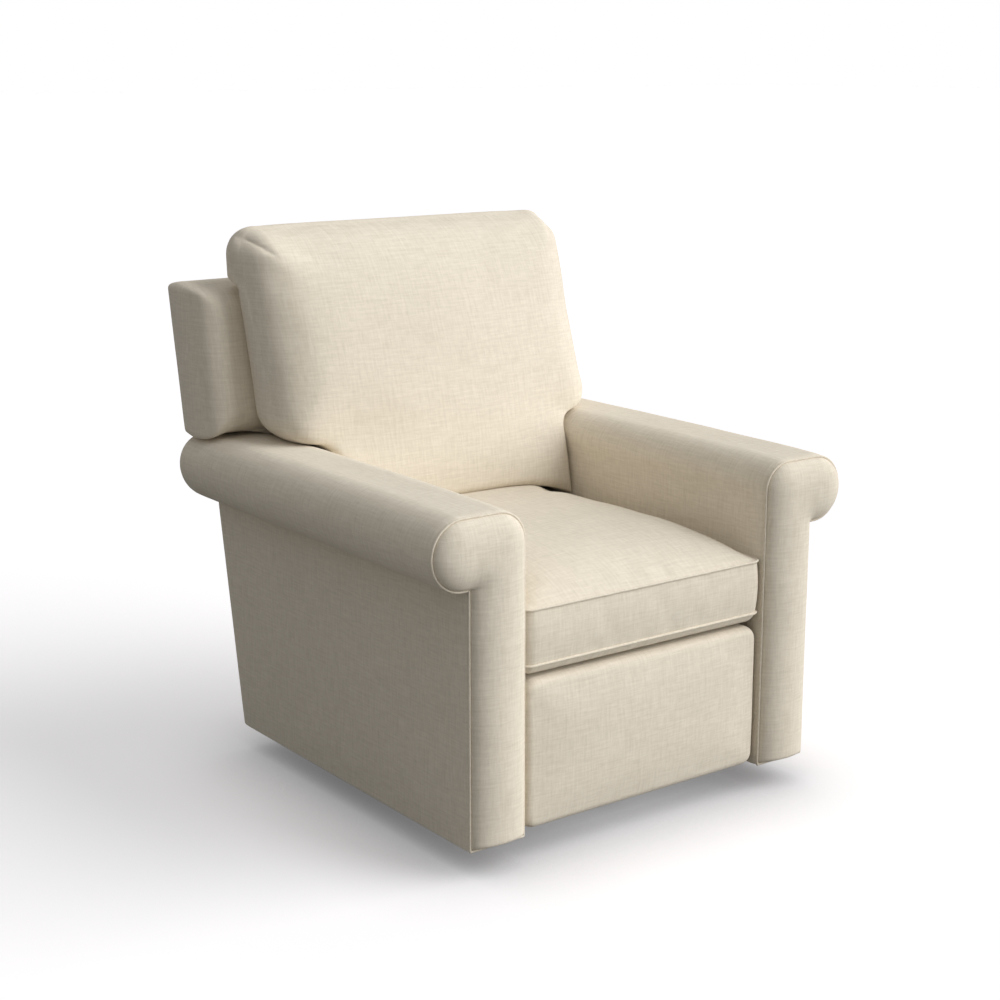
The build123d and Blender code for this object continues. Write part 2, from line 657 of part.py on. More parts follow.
def arm_outline(side, inset=0.0):
    """Front view of an arm: straight inner side, flat top, half-round outer roll, flat side."""
    inner, outer = side * (arm_inner_x + inset), side * (arm_side_x - inset)
    centre, low, top = side * roll_x, BODY_BOTTOM + inset, ARM_TOP - inset
    round_in, round_out = ROLL_INNER_RADIUS - inset, ROLL_RADIUS - inset
    shoulder_x = side * (arm_inner_x + ROLL_INNER_RADIUS)
    shoulder_z = ARM_TOP - ROLL_INNER_RADIUS
    diagonal = round_in * sin(radians(45))
    with BuildLine() as outline:
        Line((outer, low), (inner, low))
        Line((inner, low), (inner, shoulder_z))
        ThreePointArc(
            (inner, shoulder_z),
            (shoulder_x - side * diagonal, shoulder_z + diagonal),
            (shoulder_x, top),
        )
        Line((shoulder_x, top), (centre, top))
        under = roll_z - round_out
        ThreePointArc((centre, top), (centre + side * round_out, roll_z), (centre, under))
        Line((centre, under), (outer, under))
        Line((outer, under), (outer, low))
    make_face(outline.edges())


def slanted_side(y_front, z_low, z_high, rear_inset):
    """Side view with a vertical front edge and the chair's slanted rear edge."""
    with BuildLine() as outline:
        Polyline(
            (y_front, z_low),
            (rear_plane_y(z_low) - rear_inset, z_low),
            (rear_plane_y(z_high) - rear_inset, z_high),
            (y_front, z_high),
            close=True,
        )
    make_face(outline.edges())


def arm(side, word):
    """Frame, upholstery, facing and welt of one arm."""
    frame_low_x = side * arm_frame_x - ARM_FRAME_THICK / 2
    frame_top = ARM_TOP - ARM_FRAME_COVER - ARM_TOP_PAD
    frame_front = arm_front_y + ARM_FRAME_COVER
    rear_inset = ARM_REAR_INSET + ARM_FRAME_COVER
    rail = ARM_FRAME_RAIL
    rear_rail = rear_inset + rail
    mid_z = plate_mid_z
    bolt_start = arm_frame_x - ARM_FRAME_THICK / 2
    bolt_end = bolt_start + ARM_BOLT_GRIP
    roll_edge_x = roll_x + ROLL_RADIUS
    low_x = min(side * arm_inner_x, side * roll_edge_x)
    with BuildPart() as frame:
        with BuildSketch(side_plane(frame_low_x)):
            slanted_side(frame_front, BODY_BOTTOM, frame_top, rear_inset)
            with BuildSketch(mode=Mode.PRIVATE) as low_window:
                slanted_side(frame_front + rail, BODY_BOTTOM + rail, mid_z - rail / 2, rear_rail)
            with BuildSketch(mode=Mode.PRIVATE) as high_window:
                slanted_side(frame_front + rail, mid_z + rail / 2, frame_top - rail, rear_rail)
            add(low_window.sketch, mode=Mode.SUBTRACT)
            add(high_window.sketch, mode=Mode.SUBTRACT)
        extrude(amount=ARM_FRAME_THICK)
        pins(bolt_start, bolt_end, arm_bolt_spots, ARM_BOLT_R + FIT, mode=Mode.SUBTRACT)
    finish(frame, f"arm_frame_{word}")

    with BuildPart() as welt:
        with BuildSketch(front_plane(arm_front_y + WELT)):
            arm_outline(side)
            with BuildSketch(mode=Mode.PRIVATE) as inner:
                arm_outline(side, WELT)
            add(inner.sketch, mode=Mode.SUBTRACT)
        extrude(amount=WELT)
    finish(welt, f"arm_welt_{word}")

    with BuildPart() as upholstery:
        with BuildSketch(front_plane(rear_y)):
            arm_outline(side)
        extrude(amount=rear_y - arm_front_y)
        with BuildSketch(side_plane(low_x)):
            slanted_side(arm_front_y, BODY_BOTTOM, ARM_TOP, ARM_REAR_INSET)
        extrude(amount=roll_edge_x - arm_inner_x, mode=Mode.INTERSECT)
        add(frame.part, mode=Mode.SUBTRACT)
        add(welt.part, mode=Mode.SUBTRACT)
        pins(arm_inner_x, bolt_end, arm_bolt_spots, ARM_BOLT_R + FIT, mode=Mode.SUBTRACT)
    finish(upholstery, f"arm_upholstery_{word}")

    with BuildPart() as facing:
        with BuildSketch(front_plane(arm_front_y)):
            arm_outline(side, WELT)
        extrude(amount=FACING_THICK)
    finish(facing, f"arm_facing_{word}")


arm(-1, "left")
arm(1, "right")

with BuildPart() as arm_bolts:
    bolt_end = arm_frame_x - ARM_FRAME_THICK / 2 + ARM_BOLT_GRIP
    pins(plate_inner_x - PIN_HEAD, plate_inner_x, arm_bolt_spots, ARM_BOLT_R + PIN_HEAD_RIM)
    pins(plate_inner_x, bolt_end, arm_bolt_spots, ARM_BOLT_R)
    pins(plate_outer_x, arm_inner_x, arm_bolt_spots, ARM_BOLT_R + SPACER_RIM)
finish(arm_bolts, "arm_bolts")

rear_panel_top = BACK_BOTTOM - REAR_PANEL_GAP
with BuildPart() as rear_panel:
    with BuildSketch(side_plane(-back_half_low)):
        with BuildLine():
            Polyline(
                (rear_plane_y(BODY_BOTTOM) - REAR_PANEL_THICK, BODY_BOTTOM),
                (rear_plane_y(BODY_BOTTOM), BODY_BOTTOM),
                (rear_plane_y(rear_panel_top), rear_panel_top),
                (rear_plane_y(rear_panel_top) - REAR_PANEL_THICK, rear_panel_top),
                close=True,
            )
        make_face()
    extrude(amount=2 * back_half_low)
finish(rear_panel, "rear_panel")

# ================================================================ footrest tongs
elbow_spot, panel_spot, tail_spot = at(ELBOW_PIVOT), at(PANEL_PIVOT), at(TAIL_PIVOT)
ear_spot, top_spot = at(EAR_PIVOT), at(TOP_PIVOT)


def bore(number, spot, radius):
    """Bore through the bars of one layer."""
    pins(layer_inner(number), layer_outer(number), [spot], radius, mode=Mode.SUBTRACT)


with BuildPart() as main_links:
    bars(layer_inner(2), PLATE_THICK, [main_spot, elbow_spot, ear_spot, main_spot], LINK_R)
    bore(2, main_spot, FIXED_PIN_R + RUN)
finish(main_links, "main_links")

with BuildPart() as main_link_pins:
    pins(layer_inner(3), layer_inner(2), [elbow_spot], TONG_PIN_R)
    pins(layer_outer(2), layer_outer(1), [ear_spot], TONG_PIN_R)
finish(main_link_pins, "main_link_pins")

with BuildPart() as fore_links:
    bars(layer_inner(3), PLATE_THICK, [tail_spot, elbow_spot, panel_spot], LINK_R)
    bore(3, elbow_spot, TONG_PIN_R + RUN)
finish(fore_links, "fore_links")

with BuildPart() as fore_link_pins:
    pins(layer_inner(4), layer_inner(3), [tail_spot], TONG_PIN_R)
    pins(layer_outer(3), layer_outer(2), [panel_spot], TONG_PIN_R)
finish(fore_link_pins, "fore_link_pins")

with BuildPart() as lower_control_links:
    bars(layer_inner(4), PLATE_THICK, [control_spot, tail_spot], LINK_R)
    bore(4, control_spot, FIXED_PIN_R + RUN)
    bore(4, tail_spot, TONG_PIN_R + OPEN_EYE)
finish(lower_control_links, "lower_control_links")

brace_spot = tuple(c + BRACE_AT * (t - c) for c, t in zip(control_spot, tail_spot))
with BuildPart() as control_brace:
    with BuildSketch(side_plane(-layer_inner(4))):
        with Locations(brace_spot):
            Circle(BRACE_R)
            Circle(BRACE_R - TUBE_WALL, mode=Mode.SUBTRACT)
    extrude(amount=2 * layer_inner(4))
finish(control_brace, "control_brace")

with BuildPart() as upper_control_links:
    bars(layer_inner(1), PLATE_THICK, [ear_spot, top_spot], LINK_R)
    bore(1, ear_spot, TONG_PIN_R + RUN)
finish(upper_control_links, "upper_control_links")

with BuildPart() as upper_control_pins:
    pins(layer_inner(2), layer_inner(1), [top_spot], TONG_PIN_R)
finish(upper_control_pins, "upper_control_pins")

# ================================================================ footrest
pad_half = arm_inner_x - FOOTREST_SIDE_GAP
board_front_y = arm_front_y + FOOTREST_PAD_THICK
board_rear_y = board_front_y + FOOTREST_BOARD_THICK
footrest_mid_z = (FOOTREST_TOP + FOOTREST_BOTTOM) / 2
footrest_height = FOOTREST_TOP - FOOTREST_BOTTOM
with BuildPart() as footrest_pad:
    with BuildSketch(front_plane(board_front_y)):
        with Locations((0, footrest_mid_z)):
            RectangleRounded(2 * pad_half, footrest_height, FOOTREST_CORNER)
    extrude(amount=FOOTREST_PAD_THICK)
finish(footrest_pad, "footrest_pad")

with BuildPart() as footrest_board:
    with BuildSketch(front_plane(board_rear_y)):
        with Locations((0, footrest_mid_z)):
            RectangleRounded(
                2 * (pad_half - FOOTREST_BOARD_MARGIN),
                footrest_height - 2 * FOOTREST_BOARD_MARGIN,
                FOOTREST_CORNER - FOOTREST_BOARD_MARGIN,
            )
    extrude(amount=FOOTREST_BOARD_THICK)
finish(footrest_board, "footrest_board")

eye_r = TONG_PIN_R + OPEN_EYE + EYE_WALL
bracket_foot = (board_rear_y + eye_r, panel_spot[1] - BRACKET_DROP)
with BuildPart() as footrest_brackets:
    for x in (layer_inner(2), -layer_outer(2)):
        with BuildSketch(side_plane(x)):
            with BuildSketch(mode=Mode.PRIVATE) as ear:
                with Locations(panel_spot, top_spot, bracket_foot):
                    Circle(eye_r)
                make_hull()
            add(ear.sketch)
            with Locations((board_rear_y - eye_r, panel_spot[1])):
                Rectangle(2 * eye_r, footrest_height, mode=Mode.SUBTRACT)
        extrude(amount=PLATE_THICK)
    bore(2, panel_spot, TONG_PIN_R + RUN)
    bore(2, top_spot, TONG_PIN_R + OPEN_EYE)
finish(footrest_brackets, "footrest_brackets")

# ================================================================ back unit
post_outer = layer_inner(1)
lean = radians(BACK_LEAN)
frame_plane = Plane(
    origin=(0, rear_plane_y(BACK_TOP) - (BACK_THICK - BACK_FRAME_THICK) / 2, BACK_TOP),
    x_dir=(1, 0, 0),
    z_dir=(0, -cos(lean), sin(lean)),
)
frame_drop = (BACK_TOP - BACK_BOTTOM - BACK_FRAME_LIFT) / cos(lean)
over = ARM_TOP + ROLL_GAP
wing_rail_z = over + WING_RAIL_CLEAR + BACK_RAIL_HEIGHT / 2
wing_rail_drop = (BACK_TOP - wing_rail_z) / cos(lean)
post_x = post_outer - BACK_POST_WIDTH / 2
wing_post_x = BACK_HALF_WIDTH - BACK_FRAME_COVER - BACK_POST_WIDTH / 2
with BuildPart() as back_frame:
    with BuildSketch(frame_plane):
        for side in (-1, 1):
            with Locations((side * post_x, -(frame_drop + BACK_FRAME_COVER) / 2)):
                Rectangle(BACK_POST_WIDTH, frame_drop - BACK_FRAME_COVER)
        with Locations((0, -BACK_FRAME_COVER - BACK_RAIL_HEIGHT / 2)):
            Rectangle(2 * (BACK_HALF_WIDTH - BACK_FRAME_COVER), BACK_RAIL_HEIGHT)
        with Locations((0, -wing_rail_drop)):
            Rectangle(2 * (BACK_HALF_WIDTH - BACK_FRAME_COVER), BACK_RAIL_HEIGHT)
        with Locations((0, -frame_drop + BACK_RAIL_HEIGHT / 2)):
            Rectangle(2 * post_outer, BACK_RAIL_HEIGHT)
        for side in (-1, 1):
            with Locations((side * wing_post_x, -(wing_rail_drop + BACK_FRAME_COVER) / 2)):
                Rectangle(BACK_POST_WIDTH, wing_rail_drop - BACK_FRAME_COVER)
    extrude(amount=BACK_FRAME_THICK)
finish(back_frame, "back_frame")

bracket_top = (hinge_y - BRACKET_LENGTH * sin(radians(BRACKET_LEAN)), HINGE_Z + BRACKET_LENGTH)
with BuildPart() as back_brackets:
    bars(layer_inner(1), PLATE_THICK, [hinge_spot, bracket_top], HINGE_LOBE)
    pins(layer_inner(1), layer_outer(1), [hinge_spot], HINGE_PIN_R + RUN, mode=Mode.SUBTRACT)
finish(back_brackets, "back_brackets")

with BuildPart() as back_upholstery:
    with BuildSketch(front_plane(rear_y)):
        with Locations((0, (BACK_TOP + BACK_BOTTOM) / 2)):
            Rectangle(2 * BACK_HALF_WIDTH, BACK_TOP - BACK_BOTTOM)
        for side in (-1, 1):
            with BuildLine():
                reach = ROLL_INNER_RADIUS + ROLL_GAP
                start = acos((ROLL_INNER_RADIUS + BACK_SIDE_GAP) / reach)
                middle = (start + radians(90)) / 2
                inner = side * back_half_low
                round_x = side * (arm_inner_x + ROLL_INNER_RADIUS)
                round_z = over - reach
                arc_start = (inner, round_z + reach * sin(start))
                arc_middle = (round_x - side * reach * cos(middle), round_z + reach * sin(middle))
                outer = ROLL_RADIUS + ROLL_GAP
                roll_end = side * (roll_x + outer)
                under = roll_z - outer
                Line((inner, 0), arc_start)
                ThreePointArc(arc_start, arc_middle, (round_x, over))
                Line((round_x, over), (side * roll_x, over))
                ThreePointArc((side * roll_x, over), (roll_end, roll_z), (side * roll_x, under))
                Line((side * roll_x, under), (side * roll_x, 0))
                Line((side * roll_x, 0), (inner, 0))
            make_face(mode=Mode.SUBTRACT)
            with Locations((roll_end, roll_z / 2)):
                Rectangle(2 * outer, roll_z, mode=Mode.SUBTRACT)
    extrude(amount=2 * BACK_THICK + CHAIR_DEPTH / 2)
    with BuildSketch(side_plane(-BACK_HALF_WIDTH)):
        with BuildLine():
            Polyline(
                (rear_plane_y(BACK_BOTTOM), BACK_BOTTOM),
                (rear_plane_y(BACK_TOP), BACK_TOP),
                (rear_plane_y(BACK_TOP) - BACK_THICK, BACK_TOP),
                (rear_plane_y(BACK_BOTTOM) - BACK_THICK, BACK_BOTTOM),
                close=True,
            )
        make_face()
    extrude(amount=2 * BACK_HALF_WIDTH, mode=Mode.INTERSECT)
    add(back_frame.part, mode=Mode.SUBTRACT)
    add(back_brackets.part, mode=Mode.SUBTRACT)
finish(back_upholstery, "back_upholstery")

pillow_low_z = cushion_edge_z + CUSHION_REAR_RISE + PILLOW_GAP
pillow_shelf_z = ARM_TOP + PILLOW_GAP
with BuildPart() as back_cushion:
    with BuildSketch(front_plane(PILLOW_TOP_REAR_Y)):
        with Locations((0, (CHAIR_HEIGHT + pillow_shelf_z) / 2)):
            RectangleRounded(2 * PILLOW_HALF_WIDTH, CHAIR_HEIGHT - pillow_shelf_z, PILLOW_CORNER)
        with Locations((0, (pillow_low_z + CHAIR_HEIGHT) / 2 - PILLOW_CORNER)):
            Rectangle(2 * back_half_low, CHAIR_HEIGHT - pillow_low_z - 2 * PILLOW_CORNER)
    extrude(amount=PILLOW_TOP_REAR_Y - PILLOW_FRONT_Y)
    with BuildSketch(side_plane(-PILLOW_HALF_WIDTH)):
        with BuildLine():
            front_low = (PILLOW_FRONT_Y, pillow_low_z)
            front_high = (PILLOW_TOP_FRONT_Y, CHAIR_HEIGHT - PILLOW_SHOULDER)
            top_front = (PILLOW_TOP_FRONT_Y + PILLOW_SHOULDER, CHAIR_HEIGHT)
            top_rear = (PILLOW_TOP_REAR_Y - PILLOW_SHOULDER, CHAIR_HEIGHT)
            rear_high = (PILLOW_TOP_REAR_Y, CHAIR_HEIGHT - PILLOW_SHOULDER)
            over_back = (PILLOW_TOP_REAR_Y, BACK_TOP + PILLOW_REAR_GAP)
            behind = BACK_THICK + PILLOW_REAR_GAP
            step = (rear_plane_y(BACK_TOP) - behind, BACK_TOP + PILLOW_REAR_GAP)
            rear_low = (rear_plane_y(pillow_low_z) - behind, pillow_low_z)
            Polyline(front_low, front_high, top_front, top_rear)
            Polyline(top_rear, rear_high, over_back, step, rear_low, front_low)
        make_face()
    extrude(amount=2 * PILLOW_HALF_WIDTH, mode=Mode.INTERSECT)
finish(back_cushion, "back_cushion")
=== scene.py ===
"""Covers, finishes, light and camera for the rolled-arm swivel glider recliner, in metres.

+Z is up, the chair faces -Y, and the origin is on the floor at the swivel axis. Every padded
piece is a closed grid of points whose cloth coordinates, in metres, are in the UV map "weave".
"""

import json
import logging
import math
from collections.abc import Callable, Sequence
from dataclasses import dataclass, field
from enum import Enum

import bmesh
import bpy
import numpy as np
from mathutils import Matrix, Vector


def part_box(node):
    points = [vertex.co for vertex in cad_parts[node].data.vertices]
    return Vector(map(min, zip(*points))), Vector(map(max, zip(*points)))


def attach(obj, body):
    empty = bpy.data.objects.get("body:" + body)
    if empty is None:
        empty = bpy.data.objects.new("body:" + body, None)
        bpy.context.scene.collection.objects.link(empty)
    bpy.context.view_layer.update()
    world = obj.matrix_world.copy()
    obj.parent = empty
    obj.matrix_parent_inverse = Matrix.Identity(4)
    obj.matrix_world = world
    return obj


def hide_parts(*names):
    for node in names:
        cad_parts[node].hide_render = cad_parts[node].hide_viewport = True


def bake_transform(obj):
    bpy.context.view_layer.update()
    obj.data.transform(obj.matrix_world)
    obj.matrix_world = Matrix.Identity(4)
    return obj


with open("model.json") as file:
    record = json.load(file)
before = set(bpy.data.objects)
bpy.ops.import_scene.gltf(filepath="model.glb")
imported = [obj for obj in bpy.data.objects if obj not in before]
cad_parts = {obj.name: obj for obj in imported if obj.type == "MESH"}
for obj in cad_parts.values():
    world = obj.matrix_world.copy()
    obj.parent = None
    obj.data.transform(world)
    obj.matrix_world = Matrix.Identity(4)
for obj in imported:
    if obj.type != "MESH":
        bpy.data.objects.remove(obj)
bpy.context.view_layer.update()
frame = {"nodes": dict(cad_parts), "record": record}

Array = np.ndarray
Colour = tuple[float, float, float, float]
DepthRule = Callable[[Array, Array, Array], Array]
log = logging.getLogger("chair")

CLOTH_MAP = "weave"
PIN = "pin"


# ---------------------------------------------------------------- shape functions
def smooth(t: Array) -> Array:
    """Three t squared less two t cubed, with t held between 0 and 1."""
    t = np.clip(t, 0.0, 1.0)
    return t * t * (3.0 - 2.0 * t)


def clustered(count: int, share: float) -> Array:
    """Values from -1 to 1 that lie closer together near both ends.

    The value is (1 - share) x + share sin(pi x / 2) for evenly spaced x.

    Args:
        count: How many values.
        share: 0 for even spacing, up to 1 for the closest ends.

    Returns:
        The values.
    """
    x = np.linspace(-1.0, 1.0, count)
    return (1.0 - share) * x + share * np.sin(x * np.pi / 2.0)


def quarter_round(distance: Array, radius: float) -> Array:
    """Fall of a quarter round of that radius, at a distance inside the edge."""
    inside = np.clip(distance, 0.0, radius)
    return radius - np.sqrt(np.maximum(radius**2 - (radius - inside) ** 2, 0.0))


def unevenness(a: Array, b: Array, seed: float = 0.0) -> Array:
    """A gentle uneven field from -1 to 1: four sine waves of 0.11 m to 0.31 m crossing at angles."""
    waves = (
        (20.1, 7.3, 0.4),
        (-11.7, 23.9, 1.9),
        (31.3, -17.9, 3.1),
        (9.7, 49.1, 5.3),
    )
    total = sum(np.sin(p * a + q * b + r + seed) for p, q, r in waves)
    return total / len(waves)


def ripples(along: Array, seed: float = 0.0) -> Array:
    """Uneven gathers along a seam, from -1 to 1: sine waves 17 mm to 61 mm long, multiplied in pairs."""
    quick = np.sin(along * 369.0 + seed) * np.sin(along * 131.0 + 2.0 * seed + 0.7)
    slow = np.sin(along * 223.0 + 1.3 * seed) * np.sin(along * 103.0 + 0.4 + seed)
    return 0.5 * (quick + slow)


def arc(centre: Sequence[float], radius: float, start: float, end: float, count: int) -> Array:
    """Points on a circle from one angle to another in degrees, without the last one."""
    angle = np.radians(np.linspace(start, end, count, endpoint=False))
    return np.stack([centre[0] + radius * np.cos(angle), centre[1] + radius * np.sin(angle)], -1)


def run(start: Sequence[float], end: Sequence[float], count: int) -> Array:
    """Points on a straight line, without the last one."""
    return np.linspace(start, end, count, endpoint=False)


def respaced(points: Array, share: Array) -> Array:
    """Points at given shares, from 0 to 1, of a polyline's length."""
    steps = np.linalg.norm(np.diff(points, axis=0), axis=1)
    length = np.concatenate([[0.0], np.cumsum(steps)])
    return np.stack([np.interp(share * length[-1], length, c) for c in points.T], -1)


def softened(values: Array, times: int) -> Array:
    """Grid values averaged with their four neighbours, the border left as it is."""
    for _ in range(times):
        near = values[:-2, 1:-1] + values[2:, 1:-1] + values[1:-1, :-2] + values[1:-1, 2:]
        values = values.copy()
        values[1:-1, 1:-1] = 0.5 * values[1:-1, 1:-1] + 0.125 * near
    return values


def on_rim(values: Array) -> Array:
    """A grid's border values in order: first row, last column, last row back, first column back."""
    return np.concatenate([values[0, :-1], values[:-1, -1], values[-1, :0:-1], values[:0:-1, 0]])


def nearest_on(points: Array, line: Array) -> tuple[Array, Array, Array]:
    """Nearest place on a polyline for every point.

    Each point is projected on every straight piece, and the closest projection is kept.

    Args:
        points: (n, 2) points.
        line: (m, 2) polyline.

    Returns:
        The (n, 2) nearest places, the n distances and the n lengths along the line.
    """
    start, step = line[:-1], np.diff(line, axis=0)
    size = np.maximum((step**2).sum(1), 1e-18)
    offset = points[:, None] - start[None]
    share = np.clip((offset * step).sum(2) / size, 0.0, 1.0)
    foot = start + share[..., None] * step
    gap = np.linalg.norm(points[:, None] - foot, axis=2)
    best = gap.argmin(1)
    rows = np.arange(len(points))
    before = np.concatenate([[0.0], np.cumsum(np.sqrt(size))])[best]
    return foot[rows, best], gap[rows, best], before + share[rows, best] * np.sqrt(size[best])


# ---------------------------------------------------------------- meshes
@dataclass
class Patch:
    """One grid of points with its cloth coordinates and how firmly each point is held."""

    points: Array
    cloth: Array
    pin: Array | float = 0.0
    wrapped: bool = False

    def corners(self) -> Array:
        """Indices of every square's four corners, row by row."""
        rows, columns = self.points.shape[:2]
        index = np.arange(rows * columns).reshape(rows, columns)
        if self.wrapped:
            index = np.concatenate([index, index[:, :1]], 1)
        ring = [index[:-1, :-1], index[:-1, 1:], index[1:, 1:], index[1:, :-1]]
        return np.stack(ring, -1).reshape(-1, 4)

    def corner_cloth(self) -> Array:
        """Cloth coordinates of every square's corners; a wrapped grid carries on past its seam."""
        cloth = self.cloth
        if self.wrapped:
            step = np.linalg.norm(self.points[:, -1] - self.points[:, 0], axis=-1)
            last = cloth[:, -1:] + np.stack([step, np.zeros_like(step)], -1)[:, None]
            cloth = np.concatenate([cloth, last], 1)
        ring = [cloth[:-1, :-1], cloth[:-1, 1:], cloth[1:, 1:], cloth[1:, :-1]]
        return np.stack(ring, 2).reshape(-1, 2)


def make_piece(name: str, patches: Sequence[Patch], closed: bool = True) -> bpy.types.Object:
    """One object from patches that meet along their edges.

    Args:
        name: The piece's name.
        patches: Its grids. Points in the same place are merged.
        closed: Whether the faces are then turned outwards.

    Returns:
        The object, linked to the scene, with its place in its mesh.
    """
    counts = np.cumsum([0] + [p.points.shape[0] * p.points.shape[1] for p in patches])
    points = np.concatenate([p.points.reshape(-1, 3) for p in patches])
    faces = np.concatenate([p.corners() + n for p, n in zip(patches, counts)])
    cloth = np.concatenate([p.corner_cloth() for p in patches])
    pins = np.concatenate([np.broadcast_to(p.pin, p.points.shape[:2]).ravel() for p in patches])
    mesh = bpy.data.meshes.new(name)
    mesh.from_pydata(points.tolist(), [], faces.tolist())
    layer = mesh.uv_layers.new(name=CLOTH_MAP)
    layer.data.foreach_set("uv", cloth.astype(np.float32).ravel())
    hold = mesh.attributes.new(PIN, "FLOAT", "POINT")
    hold.data.foreach_set("value", pins.astype(np.float32))
    shape = bmesh.new()
    shape.from_mesh(mesh)
    bmesh.ops.remove_doubles(shape, verts=shape.verts, dist=2e-5)
    bmesh.ops.dissolve_degenerate(shape, edges=shape.edges, dist=1e-6)
    if closed:
        bmesh.ops.recalc_face_normals(shape, faces=shape.faces)
    shape.to_mesh(mesh)
    shape.free()
    mesh.shade_smooth()
    piece = bpy.data.objects.new(name, mesh)
    bpy.context.scene.collection.objects.link(piece)
    return piece


def coordinates(mesh: bpy.types.Mesh) -> Array:
    """The (n, 3) places of a mesh's points."""
    flat = np.empty(len(mesh.vertices) * 3, np.float32)
    mesh.vertices.foreach_get("co", flat)
    return flat.reshape(-1, 3).astype(float)


def place_points(mesh: bpy.types.Mesh, points: Array) -> None:
    """Writes a mesh's points back."""
    mesh.vertices.foreach_set("co", points.astype(np.float32).ravel())
    mesh.update()


def read_pins(mesh: bpy.types.Mesh) -> Array:
    """How firmly each point is held, from 0 to 1."""
    pins = np.empty(len(mesh.vertices), np.float32)
    mesh.attributes[PIN].data.foreach_get("value", pins)
    return pins


def write_pins(mesh: bpy.types.Mesh, pins: Array) -> None:
    """Sets how firmly each point is held."""
    mesh.attributes[PIN].data.foreach_set("value", pins.astype(np.float32))


@dataclass(frozen=True)
class Filling:
    """How a cover is blown up by its filling: pressure, and the furthest that a point may move."""

    pressure: float = 4.0
    cap: float = 0.02
    frames: int = 20
    slack: float = 0.0
    bending: float = 6.0
    calm: int = 2

    def apply(self, piece: bpy.types.Object) -> None:
        """Runs the cloth with its held points fixed and writes the result to the mesh.

        A point moves by cap tanh(d / cap) along its own simulated path of length d.

        Args:
            piece: A mesh object with the point attribute that says what is held.
        """
        mesh = piece.data
        rest = coordinates(mesh)
        pins = read_pins(mesh)
        group = piece.vertex_groups.new(name=PIN)
        for level in np.unique(np.round(pins, 2)):
            held = np.flatnonzero(np.round(pins, 2) == level).tolist()
            if level > 0:
                group.add(held, float(level), "REPLACE")
        cloth = piece.modifiers.new("Cloth", "CLOTH")
        settings = cloth.settings
        settings.quality = 5
        settings.mass = 0.3
        settings.tension_stiffness = 30.0
        settings.compression_stiffness = 5.0
        settings.shear_stiffness = 12.0
        settings.bending_stiffness = self.bending
        settings.use_pressure = True
        settings.uniform_pressure_force = self.pressure
        settings.shrink_min = -self.slack
        settings.effector_weights.gravity = 0.0
        settings.vertex_group_mass = PIN
        cloth.point_cache.frame_start = 1
        cloth.point_cache.frame_end = self.frames + 1
        scene = bpy.context.scene
        for number in range(1, self.frames + 1):
            scene.frame_set(number)
        solved = piece.evaluated_get(bpy.context.evaluated_depsgraph_get())
        moved = coordinates(solved.data) - rest
        piece.modifiers.remove(cloth)
        piece.vertex_groups.remove(group)
        scene.frame_set(1)
        moved = self.calmed(mesh, moved)
        length = np.linalg.norm(moved, axis=1, keepdims=True)
        moved *= self.cap * np.tanh(length / self.cap) / np.maximum(length, 1e-9)
        place_points(mesh, rest + moved)
        log.info("%s filled, furthest free move %.1f mm", piece.name, 1000 * length.max())

    def calmed(self, mesh: bpy.types.Mesh, moved: Array) -> Array:
        """Moves averaged with their neighbours' along the edges, which takes out small wrinkles."""
        edges = np.empty(len(mesh.edges) * 2, np.int64)
        mesh.edges.foreach_get("vertices", edges)
        first, second = edges.reshape(-1, 2).T
        count = np.bincount(edges, minlength=len(moved))[:, None]
        for _ in range(self.calm):
            total = np.zeros_like(moved)
            np.add.at(total, first, moved[second])
            np.add.at(total, second, moved[first])
            moved = 0.4 * moved + 0.6 * total / np.maximum(count, 1)
        return moved


